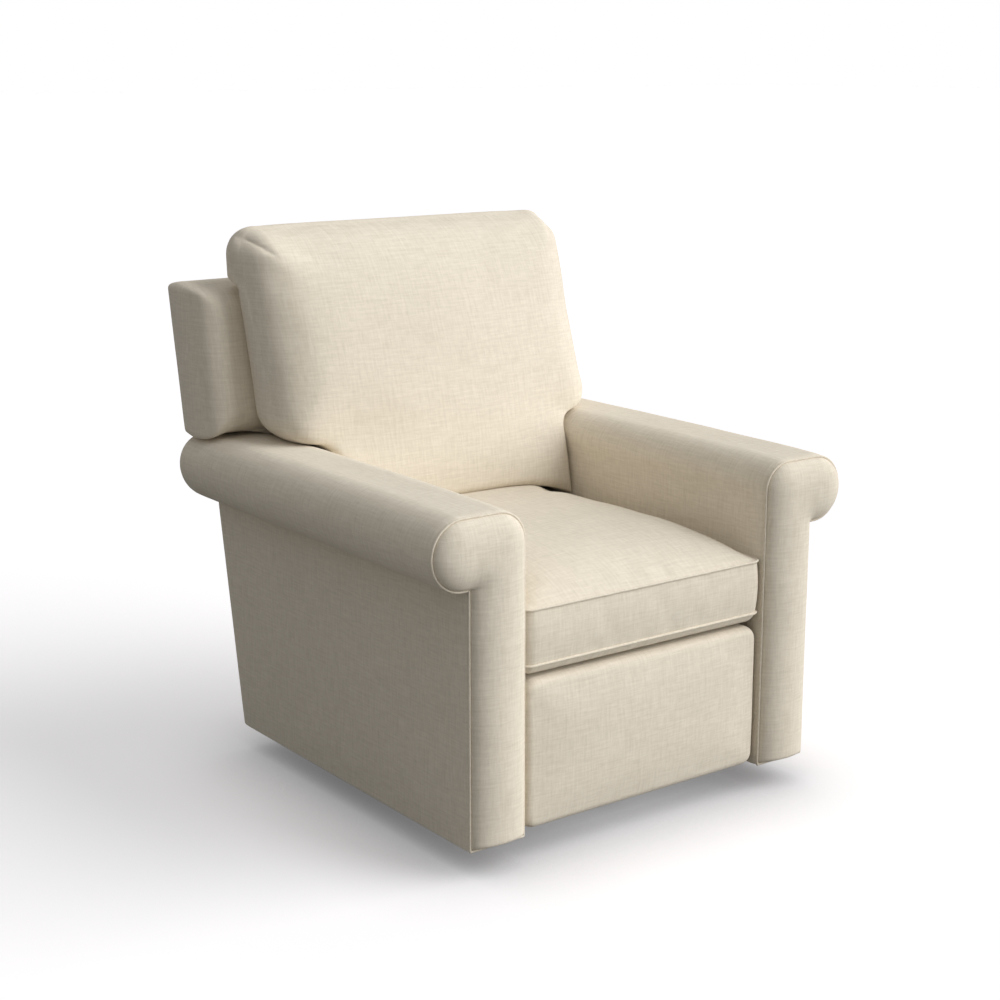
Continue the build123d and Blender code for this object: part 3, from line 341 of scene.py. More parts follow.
# ---------------------------------------------------------------- node trees
class Wiring:
    """Short calls that add nodes to a tree and join them."""

    def __init__(self, tree: bpy.types.NodeTree) -> None:
        """Works on one node tree."""
        self.tree = tree

    def add(self, kind: str, **values: object) -> bpy.types.Node:
        """A new node, with properties set by name.

        Args:
            kind: The node's type.
            **values: Its properties.

        Returns:
            The node.
        """
        node = self.tree.nodes.new(kind)
        for key, value in values.items():
            setattr(node, key, value)
        return node

    def feed(self, socket: bpy.types.NodeSocket, value: object) -> None:
        """Joins another socket to this one, or sets its value."""
        if isinstance(value, bpy.types.NodeSocket):
            self.tree.links.new(value, socket)
        else:
            socket.default_value = value

    def math(self, operation: str, *values: object) -> bpy.types.NodeSocket:
        """The result of one Math node."""
        node = self.add("ShaderNodeMath", operation=operation)
        for socket, value in zip(node.inputs, values):
            self.feed(socket, value)
        return node.outputs[0]

    def point(self, x: object, y: object, z: object = 0.0) -> bpy.types.NodeSocket:
        """A vector from three values."""
        node = self.add("ShaderNodeCombineXYZ")
        for socket, value in zip(node.inputs, (x, y, z)):
            self.feed(socket, value)
        return node.outputs[0]

    def parts(self, vector: object) -> list[bpy.types.NodeSocket]:
        """The three values of a vector."""
        node = self.add("ShaderNodeSeparateXYZ")
        self.feed(node.inputs[0], vector)
        return list(node.outputs)

    def noise(self, vector: object, scale: object, detail: float = 2.0) -> bpy.types.NodeSocket:
        """A noise value from 0 to 1."""
        node = self.add("ShaderNodeTexNoise")
        self.feed(node.inputs["Vector"], vector)
        self.feed(node.inputs["Scale"], scale)
        self.feed(node.inputs["Detail"], detail)
        return node.outputs[0]

    def remap(
        self, value: object, low: float, high: float, to_low: object, to_high: object
    ) -> bpy.types.NodeSocket:
        """A value carried from one range to another and held inside it."""
        node = self.add("ShaderNodeMapRange")
        names = ("Value", "From Min", "From Max", "To Min", "To Max")
        for name, given in zip(names, (value, low, high, to_low, to_high)):
            self.feed(node.inputs[name], given)
        return node.outputs[0]

    def blend(self, share: object, first: object, second: object) -> bpy.types.NodeSocket:
        """A colour between two colours."""
        node = self.add("ShaderNodeMix", data_type="RGBA")
        for socket, value in zip((node.inputs[0], node.inputs[6], node.inputs[7]), (share, first, second)):
            self.feed(socket, value)
        return node.outputs[2]

    def plus(self, first: object, second: object) -> bpy.types.NodeSocket:
        """The sum of two values."""
        return self.math("ADD", first, second)

    def minus(self, first: object, second: object) -> bpy.types.NodeSocket:
        """The first value less the second."""
        return self.math("SUBTRACT", first, second)

    def times(self, first: object, second: object) -> bpy.types.NodeSocket:
        """The product of two values."""
        return self.math("MULTIPLY", first, second)

    def relief(self, shader: bpy.types.Node, height: object, strength: float, distance: float) -> None:
        """Feeds a shader's normal with a bump made from a height."""
        bump = self.add("ShaderNodeBump")
        bump.inputs["Strength"].default_value = strength
        bump.inputs["Distance"].default_value = distance
        self.feed(bump.inputs["Height"], height)
        self.feed(shader.inputs["Normal"], bump.outputs[0])

    def scale_colour(self, colour: object, amount: object) -> bpy.types.NodeSocket:
        """A colour made lighter or darker by a factor."""
        node = self.add("ShaderNodeVectorMath", operation="SCALE")
        self.feed(node.inputs[0], colour)
        self.feed(node.inputs["Scale"], amount)
        return node.outputs[0]


class Kind(Enum):
    """The socket types that groups use."""

    VALUE = "NodeSocketFloat"
    VECTOR = "NodeSocketVector"
    COLOUR = "NodeSocketColor"


def new_group(name: str, takes: dict[str, Kind], gives: dict[str, Kind]) -> tuple[Wiring, dict, dict]:
    """An empty shader group.

    Args:
        name: The group's name.
        takes: Its inputs.
        gives: Its outputs.

    Returns:
        Its wiring, its input sockets by name, and its output sockets by name.
    """
    tree = bpy.data.node_groups.new(name, "ShaderNodeTree")
    for label, kind in takes.items():
        tree.interface.new_socket(label, in_out="INPUT", socket_type=kind.value)
    for label, kind in gives.items():
        tree.interface.new_socket(label, in_out="OUTPUT", socket_type=kind.value)
    inner = tree.nodes.new("NodeGroupInput")
    outer = tree.nodes.new("NodeGroupOutput")
    return (
        Wiring(tree),
        {label: inner.outputs[label] for label in takes},
        {label: outer.inputs[label] for label in gives},
    )


def weave_group() -> bpy.types.NodeTree:
    """Plain weave with slubs.

    A square of cloth shows its warp or its weft thread by turns. Each thread has its own shade,
    and slubs are noise drawn out along the thread. The height is the thread's round back.
    """
    wire, given, out = new_group(
        "plain_weave",
        {
            "Point": Kind.VECTOR,
            "Threads": Kind.VALUE,
            "Slub": Kind.VALUE,
            "Light": Kind.COLOUR,
            "Dark": Kind.COLOUR,
        },
        {"Colour": Kind.COLOUR, "Height": Kind.VALUE, "Roughness": Kind.VALUE},
    )
    across, along, _ = wire.parts(given["Point"])
    warp_place = wire.times(across, given["Threads"])
    weft_place = wire.times(along, given["Threads"])
    warp_number = wire.math("FLOOR", warp_place)
    weft_number = wire.math("FLOOR", weft_place)
    turn = wire.math("MODULO", wire.math("ABSOLUTE", wire.plus(warp_number, weft_number)), 2.0)
    other = wire.minus(1.0, turn)

    def drawn(x: object, x_scale: float, y: object, y_scale: float, z: float, detail: float = 2.0) -> object:
        """Noise stretched by its own scale along each thread direction."""
        return wire.noise(wire.point(wire.times(x, x_scale), wire.times(y, y_scale), z), 1.0, detail)

    def by_turns(weft: object, warp: object) -> object:
        """The weft's value and the warp's value, square by square."""
        return wire.plus(wire.times(weft, other), wire.times(warp, turn))

    def ridge(place: object) -> object:
        """The round back of a thread."""
        return wire.math("ABSOLUTE", wire.math("SINE", wire.times(place, math.pi)))

    warp_shade = drawn(warp_number, 0.73, along, 62.0, 0.0, 1.0)
    weft_shade = drawn(across, 54.0, weft_number, 0.71, 9.0, 1.0)
    long_warp = drawn(across, 230.0, along, 20.0, 4.0)
    long_weft = drawn(across, 18.0, along, 230.0, 2.0)
    streak = wire.times(wire.plus(long_warp, long_weft), 0.5)
    shade = wire.plus(wire.times(by_turns(weft_shade, warp_shade), 0.42), wire.times(streak, 0.58))
    share = wire.remap(shade, 0.36, 0.64, 0.0, given["Slub"])
    wire.feed(out["Colour"], wire.blend(share, given["Light"], given["Dark"]))
    back = by_turns(ridge(weft_place), ridge(warp_place))
    wire.feed(out["Height"], wire.plus(wire.times(back, 0.6), wire.times(streak, 0.8)))
    wire.feed(out["Roughness"], wire.remap(shade, 0.3, 0.7, 0.82, 0.95))
    return wire.tree


def mottle_group() -> bpy.types.NodeTree:
    """Broad and fine unevenness of a finish: two noises, mixed, as a factor round 1 and a mask."""
    wire, given, out = new_group(
        "mottle",
        {"Point": Kind.VECTOR, "Scale": Kind.VALUE, "Amount": Kind.VALUE},
        {"Factor": Kind.VALUE, "Mask": Kind.VALUE},
    )
    broad = wire.noise(given["Point"], given["Scale"], 3.0)
    fine = wire.noise(given["Point"], wire.times(given["Scale"], 14.0), 2.0)
    mask = wire.plus(wire.times(broad, 0.65), wire.times(fine, 0.35))
    swing = wire.times(wire.minus(mask, 0.5), given["Amount"])
    wire.feed(out["Factor"], wire.plus(1.0, swing))
    wire.feed(out["Mask"], mask)
    return wire.tree


def grain_group() -> bpy.types.NodeTree:
    """Streaks drawn out along Y, as in sawn wood and brushed steel: noise on a stretched point."""
    wire, given, out = new_group(
        "grain",
        {"Point": Kind.VECTOR, "Scale": Kind.VALUE, "Stretch": Kind.VALUE},
        {"Mask": Kind.VALUE},
    )
    x, y, z = wire.parts(given["Point"])
    drawn = wire.point(x, wire.math("DIVIDE", y, given["Stretch"]), z)
    wire.feed(out["Mask"], wire.noise(drawn, given["Scale"], 5.0))
    return wire.tree


@dataclass
class Groups:
    """The shared node groups, built once."""

    weave: bpy.types.NodeTree = field(default_factory=weave_group)
    mottle: bpy.types.NodeTree = field(default_factory=mottle_group)
    grain: bpy.types.NodeTree = field(default_factory=grain_group)


def start_material(name: str) -> tuple[bpy.types.Material, Wiring, bpy.types.Node]:
    """A new material with its wiring and its Principled shader."""
    material = bpy.data.materials.new(name)
    material.use_nodes = True
    shader = next(n for n in material.node_tree.nodes if n.type == "BSDF_PRINCIPLED")
    return material, Wiring(material.node_tree), shader


def place_group(wire: Wiring, tree: bpy.types.NodeTree, **values: object) -> bpy.types.Node:
    """A group in a material, with its inputs fed by name."""
    node = wire.add("ShaderNodeGroup")
    node.node_tree = tree
    for label, value in values.items():
        wire.feed(node.inputs[label], value)
    return node


@dataclass(frozen=True)
class Linen:
    """Heathered plain-weave upholstery linen."""

    name: str = "natural_linen"
    light: Colour = (0.89, 0.814, 0.686, 1.0)
    dark: Colour = (0.735, 0.660, 0.537, 1.0)
    threads: float = 860.0
    slub: float = 1.0
    turn: float = 0.0
    relief: float = 0.00035

    def build(self, groups: Groups) -> bpy.types.Material:
        """The material, drawn on the cloth coordinates.

        Args:
            groups: The shared node groups.

        Returns:
            The material.
        """
        material, wire, shader = start_material(self.name)
        spread = wire.add("ShaderNodeUVMap", uv_map=CLOTH_MAP)
        laid = wire.add("ShaderNodeMapping")
        wire.feed(laid.inputs["Vector"], spread.outputs[0])
        laid.inputs["Rotation"].default_value[2] = self.turn
        weave = place_group(
            wire,
            groups.weave,
            Point=laid.outputs[0],
            Threads=self.threads,
            Slub=self.slub,
            Light=self.light,
            Dark=self.dark,
        )
        mottle = place_group(wire, groups.mottle, Point=laid.outputs[0], Scale=7.0, Amount=0.10)
        tone = wire.scale_colour(weave.outputs["Colour"], mottle.outputs["Factor"])
        wire.feed(shader.inputs["Base Color"], tone)
        wire.feed(shader.inputs["Roughness"], weave.outputs["Roughness"])
        wire.relief(shader, weave.outputs["Height"], 0.45, self.relief)
        shader.inputs["Sheen Weight"].default_value = 0.12
        shader.inputs["Sheen Roughness"].default_value = 0.5
        shader.inputs["Specular IOR Level"].default_value = 0.18
        return material


@dataclass(frozen=True)
class PlatformCloth:
    """Black platform cloth under the cushions."""

    name: str = "platform_cloth"
    light: Colour = (0.035, 0.034, 0.034, 1.0)
    dark: Colour = (0.012, 0.012, 0.012, 1.0)
    threads: float = 620.0
    slub: float = 0.9

    def build(self, groups: Groups) -> bpy.types.Material:
        """The material, drawn on the cloth coordinates."""
        material, wire, shader = start_material(self.name)
        spread = wire.add("ShaderNodeUVMap", uv_map=CLOTH_MAP)
        weave = place_group(
            wire,
            groups.weave,
            Point=spread.outputs[0],
            Threads=self.threads,
            Slub=self.slub,
            Light=self.light,
            Dark=self.dark,
        )
        wire.feed(shader.inputs["Base Color"], weave.outputs["Colour"])
        wire.feed(shader.inputs["Roughness"], weave.outputs["Roughness"])
        wire.relief(shader, weave.outputs["Height"], 0.4, 0.0004)
        return material


@dataclass(frozen=True)
class Wood:
    """Sawn or lacquered wood with grain along Y."""

    name: str
    pale: Colour
    deep: Colour
    rough: tuple[float, float] = (0.55, 0.75)
    coat: float = 0.0

    def build(self, groups: Groups) -> bpy.types.Material:
        """The material, drawn on the object's own coordinates."""
        material, wire, shader = start_material(self.name)
        spot = wire.add("ShaderNodeTexCoord").outputs["Object"]
        grain = place_group(wire, groups.grain, Point=spot, Scale=70.0, Stretch=12.0)
        mottle = place_group(wire, groups.mottle, Point=spot, Scale=9.0, Amount=0.35)
        share = wire.remap(grain.outputs["Mask"], 0.35, 0.68, 0.0, 1.0)
        tone = wire.blend(share, self.pale, self.deep)
        wire.feed(shader.inputs["Base Color"], wire.scale_colour(tone, mottle.outputs["Factor"]))
        wire.feed(shader.inputs["Roughness"], wire.remap(grain.outputs["Mask"], 0.3, 0.7, *self.rough))
        wire.relief(shader, grain.outputs["Mask"], 0.3, 0.0004)
        shader.inputs["Coat Weight"].default_value = self.coat
        return material


@dataclass(frozen=True)
class Metal:
    """Powder-coated or zinc-plated steel, worn lighter in patches."""

    name: str
    coat: Colour
    worn: Colour
    metallic: float
    rough: tuple[float, float]

    def build(self, groups: Groups) -> bpy.types.Material:
        """The material, drawn on the object's own coordinates."""
        material, wire, shader = start_material(self.name)
        spot = wire.add("ShaderNodeTexCoord").outputs["Object"]
        mottle = place_group(wire, groups.mottle, Point=spot, Scale=60.0, Amount=0.25)
        grain = place_group(wire, groups.grain, Point=spot, Scale=420.0, Stretch=6.0)
        share = wire.remap(mottle.outputs["Mask"], 0.52, 0.78, 0.0, 0.6)
        wire.feed(shader.inputs["Base Color"], wire.blend(share, self.coat, self.worn))
        wire.feed(shader.inputs["Roughness"], wire.remap(grain.outputs["Mask"], 0.3, 0.7, *self.rough))
        shader.inputs["Metallic"].default_value = self.metallic
        wire.relief(shader, grain.outputs["Mask"], 0.2, 0.0002)
        return material


@dataclass(frozen=True)
class Plastic:
    """Moulded matt plastic with a fine sparked texture."""

    name: str = "moulded_plastic"
    colour: Colour = (0.05, 0.048, 0.045, 1.0)
    scuffed: Colour = (0.12, 0.115, 0.11, 1.0)

    def build(self, groups: Groups) -> bpy.types.Material:
        """The material, drawn on the object's own coordinates."""
        material, wire, shader = start_material(self.name)
        spot = wire.add("ShaderNodeTexCoord").outputs["Object"]
        mottle = place_group(wire, groups.mottle, Point=spot, Scale=90.0, Amount=0.2)
        share = wire.remap(mottle.outputs["Mask"], 0.5, 0.75, 0.0, 0.7)
        wire.feed(shader.inputs["Base Color"], wire.blend(share, self.colour, self.scuffed))
        wire.feed(shader.inputs["Roughness"], wire.remap(mottle.outputs["Mask"], 0.3, 0.7, 0.45, 0.65))
        wire.relief(shader, mottle.outputs["Mask"], 0.25, 0.0002)
        return material


@dataclass
class Finishes:
    """Every finish of the chair by the record's slot name."""

    by_slot: dict[str, bpy.types.Material] = field(default_factory=dict)

    def build(self, groups: Groups) -> None:
        """Makes the materials.

        Args:
            groups: The shared node groups.
        """
        black, worn_black = (0.018, 0.018, 0.019, 1.0), (0.05, 0.05, 0.052, 1.0)
        zinc, dull_zinc = (0.55, 0.56, 0.56, 1.0), (0.36, 0.36, 0.35, 1.0)
        pale_wood, deep_wood = (0.56, 0.40, 0.24, 1.0), (0.40, 0.26, 0.14, 1.0)
        brown, dark_brown = (0.060, 0.034, 0.020, 1.0), (0.026, 0.014, 0.009, 1.0)
        recipes = {
            "upholstery_linen": Linen(),
            "welt_linen": Linen(name="bias_welt_linen", turn=math.radians(45.0), relief=0.0003),
            "deck_cloth": PlatformCloth(),
            "frame_wood": Wood("sawn_hardwood", pale_wood, deep_wood),
            "ring_wood": Wood("dark_lacquered_wood", brown, dark_brown, (0.28, 0.42), 0.35),
            "mechanism_steel": Metal("black_powder_coat", black, worn_black, 0.0, (0.42, 0.6)),
            "zinc_steel": Metal("zinc_plate", zinc, dull_zinc, 1.0, (0.28, 0.45)),
            "glide_plastic": Plastic(),
        }
        self.by_slot = {slot: recipe.build(groups) for slot, recipe in recipes.items()}

    def dress(self, piece: bpy.types.Object, slot: str) -> None:
        """Gives a new piece the finish of a slot."""
        piece.data.materials.clear()
        piece.data.materials.append(self.by_slot[slot])

    def dress_hardware(self) -> None:
        """Gives every CAD node the finish of its slot in the record."""
        for entry in frame["record"]["subparts"]:
            piece = frame["nodes"][entry["node"]]
            if not piece.material_slots:
                piece.data.materials.append(None)
            for holder in piece.material_slots:
                holder.material = self.by_slot[entry["material_slot"]]


# ---------------------------------------------------------------- padded blocks
class Facing(Enum):
    """Which way a block's depth runs: towards the back of the chair, or upwards."""

    BACKWARDS = "backwards"
    UPWARDS = "upwards"


@dataclass
class BlockOutline:
    """The outline of a padded block as its right edge from bottom to top, mirrored to the left.

    A row runs from the left edge to the right edge. Its middle rises evenly, and its ends bend
    to the edge by the share |s| to the power of bend.
    """

    edge: Array
    corner_top: float
    corner_bottom: float
    bend: float = 3.0
    foot_drop: float = 0.0

    def grid(self, rows: int, columns: int, share: float = 0.62) -> tuple[Array, Array]:
        """Across and up values of a grid that fills the outline."""
        t = (clustered(rows, share * 0.8) + 1.0) / 2.0
        s = clustered(columns, share)
        side = respaced(self.edge, t)
        low, high = self.edge[0, 1], self.edge[-1, 1]
        across = side[:, :1] * s
        middle = (low + (high - low) * t)[:, None]
        up = middle + (side[:, 1:] - middle) * np.abs(s) ** self.bend
        up = up - self.foot_drop * np.abs(s) ** 4 * (1.0 - t[:, None]) ** 12
        across, up = self.rounded(across, up, self.edge[-1, 0], high, self.corner_top, 1.0)
        return self.rounded(across, up, self.edge[0, 0], low, self.corner_bottom, -1.0)

    @staticmethod
    def rounded(
        across: Array, up: Array, half: float, end: float, radius: float, way: float
    ) -> tuple[Array, Array]:
        """Rounds two square corners: a point at (a, b) in the corner square is scaled by max / hypot.

        Args:
            across: Across values.
            up: Up values.
            half: Half width at the corners.
            end: Height of the corners.
            radius: Corner radius.
            way: 1 for the top corners, -1 for the bottom ones.

        Returns:
            The new across and up values.
        """
        a = np.maximum(np.abs(across) - (half - radius), 0.0)
        b = np.maximum(way * (up - end) + radius, 0.0)
        inside = (a > 0) & (b > 0)
        factor = np.where(inside, np.maximum(a, b) / np.maximum(np.hypot(a, b), 1e-9), 1.0)
        across = np.where(inside, np.sign(across) * (half - radius + a * factor), across)
        up = np.where(inside, end + way * (b * factor - radius), up)
        return across, up


@dataclass
class PaddedBlock:
    """A closed padded form: a near face, a far face and a band that joins their edges."""

    name: str
    outline: BlockOutline
    near: DepthRule
    far: DepthRule
    near_round: float | Callable[[Array], Array]
    far_round: float
    facing: Facing = Facing.BACKWARDS
    rows: int = 70
    columns: int = 80
    band: int = 14
    band_swell: float = 0.0
    pin_near: float = 0.0
    pin_far: float = 0.0
    pin_seams: float = 1.0
    gather: float = 0.0
    soften: int = 0

    def place(self, across: Array, up: Array, depth: Array) -> Array:
        """Points from a block's own across, up and depth."""
        if self.facing is Facing.BACKWARDS:
            return np.stack([across, depth, up], -1)
        return np.stack([across, up, depth], -1)

    def build(self) -> bpy.types.Object:
        """The block's object.

        A face lies at its own depth plus the fall of a quarter round near its edge, plus gathers
        that fade within 25 mm of the seam.

        Returns:
            The object.
        """
        across, up = self.outline.grid(self.rows, self.columns)
        rim = on_rim(np.stack([across, up], -1))
        closed = np.concatenate([rim, rim[:1]])
        flat = np.stack([across, up], -1).reshape(-1, 2)
        _, gap, along = nearest_on(flat, closed)
        gap, along = gap.reshape(across.shape), along.reshape(across.shape)
        pleat = self.gather * ripples(along) * np.exp(-gap / 0.012) * smooth(gap / 0.004)
        near_round = self.near_round(up) if callable(self.near_round) else self.near_round
        near = softened(self.near(across, up, gap) + quarter_round(gap, near_round), self.soften) - pleat
        far = self.far(across, up, gap) - quarter_round(gap, self.far_round) + pleat
        cloth = np.stack([across, up], -1)
        edge = self.edge_mask()
        patches = [
            Patch(self.place(across, up, near), cloth, np.maximum(self.pin_near, edge * self.pin_seams)),
            Patch(self.place(across, up, far), cloth + 3.0, np.maximum(self.pin_far, edge * self.pin_seams)),
            self.band_patch(rim, on_rim(near), on_rim(far)),
        ]
        return make_piece(self.name, patches)

    def edge_mask(self) -> Array:
        """1 on the grid's border and 0 inside."""
        mask = np.zeros((self.rows, self.columns))
        mask[[0, -1]] = 1.0
        mask[:, [0, -1]] = 1.0
        return mask

    def band_patch(self, rim: Array, near: Array, far: Array) -> Patch:
        """The band between the two faces; it swells outwards by a half sine across its width."""
        closed = np.concatenate([rim, rim[:1]])
        steps = np.linalg.norm(np.diff(closed, axis=0), axis=1)
        along = np.concatenate([[0.0], np.cumsum(steps)[:-1]])
        tangent = np.roll(rim, -1, 0) - np.roll(rim, 1, 0)
        tangent /= np.maximum(np.linalg.norm(tangent, axis=1, keepdims=True), 1e-9)
        outward = np.stack([tangent[:, 1], -tangent[:, 0]], -1)
        t = (clustered(self.band, 0.5) + 1.0) / 2.0
        swell = self.band_swell * np.sin(np.pi * t)[:, None, None] * outward
        flat = rim[None] + swell
        depth = near + (far - near) * t[:, None]
        pin = np.zeros((self.band, len(rim)))
        pin[[0, -1]] = self.pin_seams
        cloth = np.stack([np.broadcast_to(along, depth.shape), depth], -1)
        return Patch(self.place(flat[..., 0], flat[..., 1], depth), cloth + 7.0, pin, wrapped=True)


def welt_tube(
    name: str, path: Array, up: Sequence[float], radius: float, sides: int = 10
) -> bpy.types.Object:
    """A closed fabric-covered cord along a closed path.

    Each ring is a circle in the plane of the path's sideways direction and the up direction.

    Args:
        name: The piece's name.
        path: (n, 3) points, the last not repeating the first.
        up: The direction that the cord's rings share.
        radius: The cord's radius.
        sides: Points in each ring.

    Returns:
        The object.
    """
    tangent = np.roll(path, -1, 0) - np.roll(path, 1, 0)
    tangent /= np.linalg.norm(tangent, axis=1, keepdims=True)
    side = np.cross(tangent, np.asarray(up, float))
    side /= np.linalg.norm(side, axis=1, keepdims=True)
    rise = np.cross(side, tangent)
    angle = np.linspace(0.0, 2.0 * np.pi, sides, endpoint=False)
    ring = radius * (side[:, None] * np.cos(angle)[:, None] + rise[:, None] * np.sin(angle)[:, None])
    points = path[:, None] + ring
    points = np.concatenate([points, points[:1]])
    steps = np.linalg.norm(np.diff(points[:, 0], axis=0), axis=1)
    along = np.concatenate([[0.0], np.cumsum(steps)])
    cloth = np.stack(np.broadcast_arrays(radius * angle, along[:, None]), -1)
    return make_piece(name, [Patch(points, cloth, wrapped=True)])


def finish_soft(piece: bpy.types.Object, levels: int = 1) -> None:
    """Adds the last subdivision of a padded piece, the same in the view and in a render."""
    divide = piece.modifiers.new("Subdivision", "SUBSURF")
    divide.levels = levels
    divide.render_levels = levels


# ---------------------------------------------------------------- the chair's planes
@dataclass(frozen=True)
class RearPlane:
    """The slanted plane of the outer back's rear face, read from the CAD box."""

    top: float
    rear: float
    slope: float = math.tan(math.radians(10.0))

    def at(self, z: Array) -> Array:
        """Y of the plane at height z."""
        return self.rear - self.slope * (self.top - z)


# ---------------------------------------------------------------- arms
# Where an arm cover turns over its front and rear edges: distance from the end, and inset there.
FRONT_TURN = ((0.0005, 0.0040), (0.0015, 0.0018), (0.004, 0.0006), (0.010, 0.0), (0.022, 0.0))
REAR_TURN = ((0.022, 0.0), (0.011, 0.0003), (0.006, 0.0010), (0.003, 0.0024), (0.0008, 0.0046), (0.0, 0.008))


@dataclass
class RolledArm:
    """One rolled arm: its cover, its scroll-shaped face and the welt between them."""

    word: str
    side: float
    plane: RearPlane
    roll_radius: float = 0.0585
    inner_radius: float = 0.050
    side_inset: float = 0.011
    top_crown: float = 0.006
    flank_crown: float = 0.0012
    face_inset: float = 0.0028
    welt_inset: float = 0.0012
    rear_inset: float = 0.004
    welt_radius: float = 0.0021
    face_rise: float = 0.025
    face_reach: float = 0.052
    foot_round: float = 0.008
    front_inset: float = 0.0040
    rear_turn: float = 0.008
    inner: float = field(init=False)
    top: float = field(init=False)
    bottom: float = field(init=False)
    roll_x: float = field(init=False)
    front: float = field(init=False)

    def __post_init__(self) -> None:
        """Reads the arm's place from its CAD node."""
        low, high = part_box(f"arm_upholstery_{self.word}")
        self.inner = min(abs(low.x), abs(high.x))
        self.roll_x = max(abs(low.x), abs(high.x)) - self.roll_radius
        self.bottom, self.top, self.front = low.z, high.z, low.y

    @property
    def roll_z(self) -> float:
        """Height of the roll's centre."""
        return self.top - self.roll_radius

    def grid(self, inset: float) -> Array:
        """Rows of points that fill the front outline, pulled in by inset.

        Each row is a straight line from the inner edge to the outer edge. The inner edge runs up
        the inner side and round the shoulder. The outer edge runs up the side, in under the roll
        and round it to the top. Points lie closer together near both ends of a row.

        Args:
            inset: Distance inside the CAD outline.

        Returns:
            (rows, columns, 2) X and Z values of the arm on the +X side.
        """
        outer = self.roll_x - self.side_inset - inset
        inner, low, top = self.inner + inset, self.bottom + inset, self.top - inset
        shoulder = (self.inner + self.inner_radius, self.top - self.inner_radius)
        round_in, round_out = self.inner_radius - inset, self.roll_radius - inset
        under = self.roll_z - round_out
        rise = np.linspace(0.0, 1.0, 50, endpoint=False)[:, None]
        rise = 0.45 * rise + 0.55 * (1.0 - np.cos(rise * np.pi / 2.0))
        out_low, in_low = np.array((outer, low)), np.array((inner, low))
        out_high, in_high = np.array((outer, under)), np.array((inner, under))
        step = (self.roll_x, under)
        left_end = (inner, under + 0.006)
        left = np.concatenate(
            [
                run(left_end, (inner, shoulder[1]), 40),
                arc(shoulder, round_in, 180.0, 90.0, 30),
                [(shoulder[0], top)],
            ]
        )
        right = np.concatenate(
            [
                out_low + (out_high - out_low) * rise,
                run(out_high, step, 5),
                arc((self.roll_x, self.roll_z), round_out, -90.0, 90.0, 44),
                [(self.roll_x, top)],
            ]
        )
        left = np.concatenate(
            [
                in_low + (in_high - in_low) * rise,
                run(in_high, left_end, 5),
                respaced(left, np.linspace(0.0, 1.0, 45)),
            ]
        )
        across = (clustered(30, 0.8) + 1.0)[None, :, None] / 2.0
        return left[:, None] + (right - left)[:, None] * across

    def cap(self, inset: float, reach: float, rise: float, plane: Callable[[Array], Array]) -> Patch:
        """The front or rear end of the arm.

        The rise is a quarter ellipse of the distance from the rim above the foot, level past the
        reach, and a short quarter round at the foot.

        Args:
            inset: How far its rim lies inside the outline.
            reach: Distance over which it rises.
            rise: How far the padding stands off the plane, towards the front.
            plane: Y of the end at a height.

        Returns:
            The end's patch.
        """
        flat = self.grid(inset)
        rim = on_rim(flat)
        above = np.concatenate([rim[flat.shape[1] - 1 :], rim[:1]])
        _, gap, _ = nearest_on(flat.reshape(-1, 2), above)
        near = np.clip(gap.reshape(flat.shape[:2]) / reach, 0.0, 1.0)
        low = np.clip((flat[..., 1] - rim[0, 1]) / self.foot_round, 0.0, 1.0)
        lift = rise * np.sqrt(1.0 - (1.0 - near) ** 2) * np.sqrt(1.0 - (1.0 - low) ** 2)
        soft = 1.0 + 0.06 * unevenness(flat[..., 0], flat[..., 1], self.side)
        y = plane(flat[..., 1]) - lift * soft
        return Patch(np.stack([self.side * flat[..., 0], y, flat[..., 1]], -1), flat)

    def outline(self, inset: float) -> Array:
        """The rim of the grid at that inset."""
        return on_rim(self.grid(inset))

    def shell(self) -> Patch:
        """The cover between the face and the rear: rows of outlines with a crowned top.

        The rows close in by a few millimetres at both ends, where the cover turns over an edge.
        """
        middle = np.linspace(0.04, 0.96, 60)
        rows = []
        for offset, inset in FRONT_TURN:
            rim = self.outline(inset)
            rows.append(np.column_stack([rim, np.full(len(rim), self.front + offset)]))
        full = self.outline(0.0)
        rear = self.plane.at(full[:, 1]) - self.rear_inset
        start, end = self.front + 0.022, rear - 0.024
        for share in middle:
            rows.append(np.column_stack([full, start + (end - start) * share]))
        for offset, inset in REAR_TURN:
            rim = self.outline(inset)
            rows.append(np.column_stack([rim, self.plane.at(rim[:, 1]) - self.rear_inset - offset]))
        return self.padded_shell(np.stack(rows))

    def padded_shell(self, grid: Array) -> Patch:
        """Moves the rows out along the outline's normal by the crown and a slight unevenness.

        Args:
            grid: (rows, n, 3) X, Z and Y values.

        Returns:
            The shell's patch.
        """
        x, z, y = grid[..., 0], grid[..., 1], grid[..., 2]
        tangent = np.roll(grid[..., :2], -1, 1) - np.roll(grid[..., :2], 1, 1)
        tangent /= np.maximum(np.linalg.norm(tangent, axis=-1, keepdims=True), 1e-9)
        normal = np.stack([tangent[..., 1], -tangent[..., 0]], -1)
        depth = (y - y[:1]) / (y[-1:] - y[:1])
        swell = np.sin(np.pi * np.clip(depth, 0.0, 1.0)) ** 0.35
        above = smooth((z - (self.roll_z - 0.02)) / 0.06)
        flank = smooth((z - self.bottom) / 0.05) * (1.0 - above)
        uneven = unevenness(y, z + x, 1.7 * self.side)
        lift = swell * (
            self.top_crown * above + self.flank_crown * flank + 0.0007 * uneven * (above + flank)
        )
        x, z = x + normal[..., 0] * lift, z + normal[..., 1] * lift
        steps = np.linalg.norm(np.diff(self.outline(0.0), axis=0), axis=1)
        along = np.concatenate([[0.0], np.cumsum(steps)])
        cloth = np.stack(np.broadcast_arrays(y, along), -1)
        return Patch(np.stack([self.side * x, y, z], -1), cloth, wrapped=True)

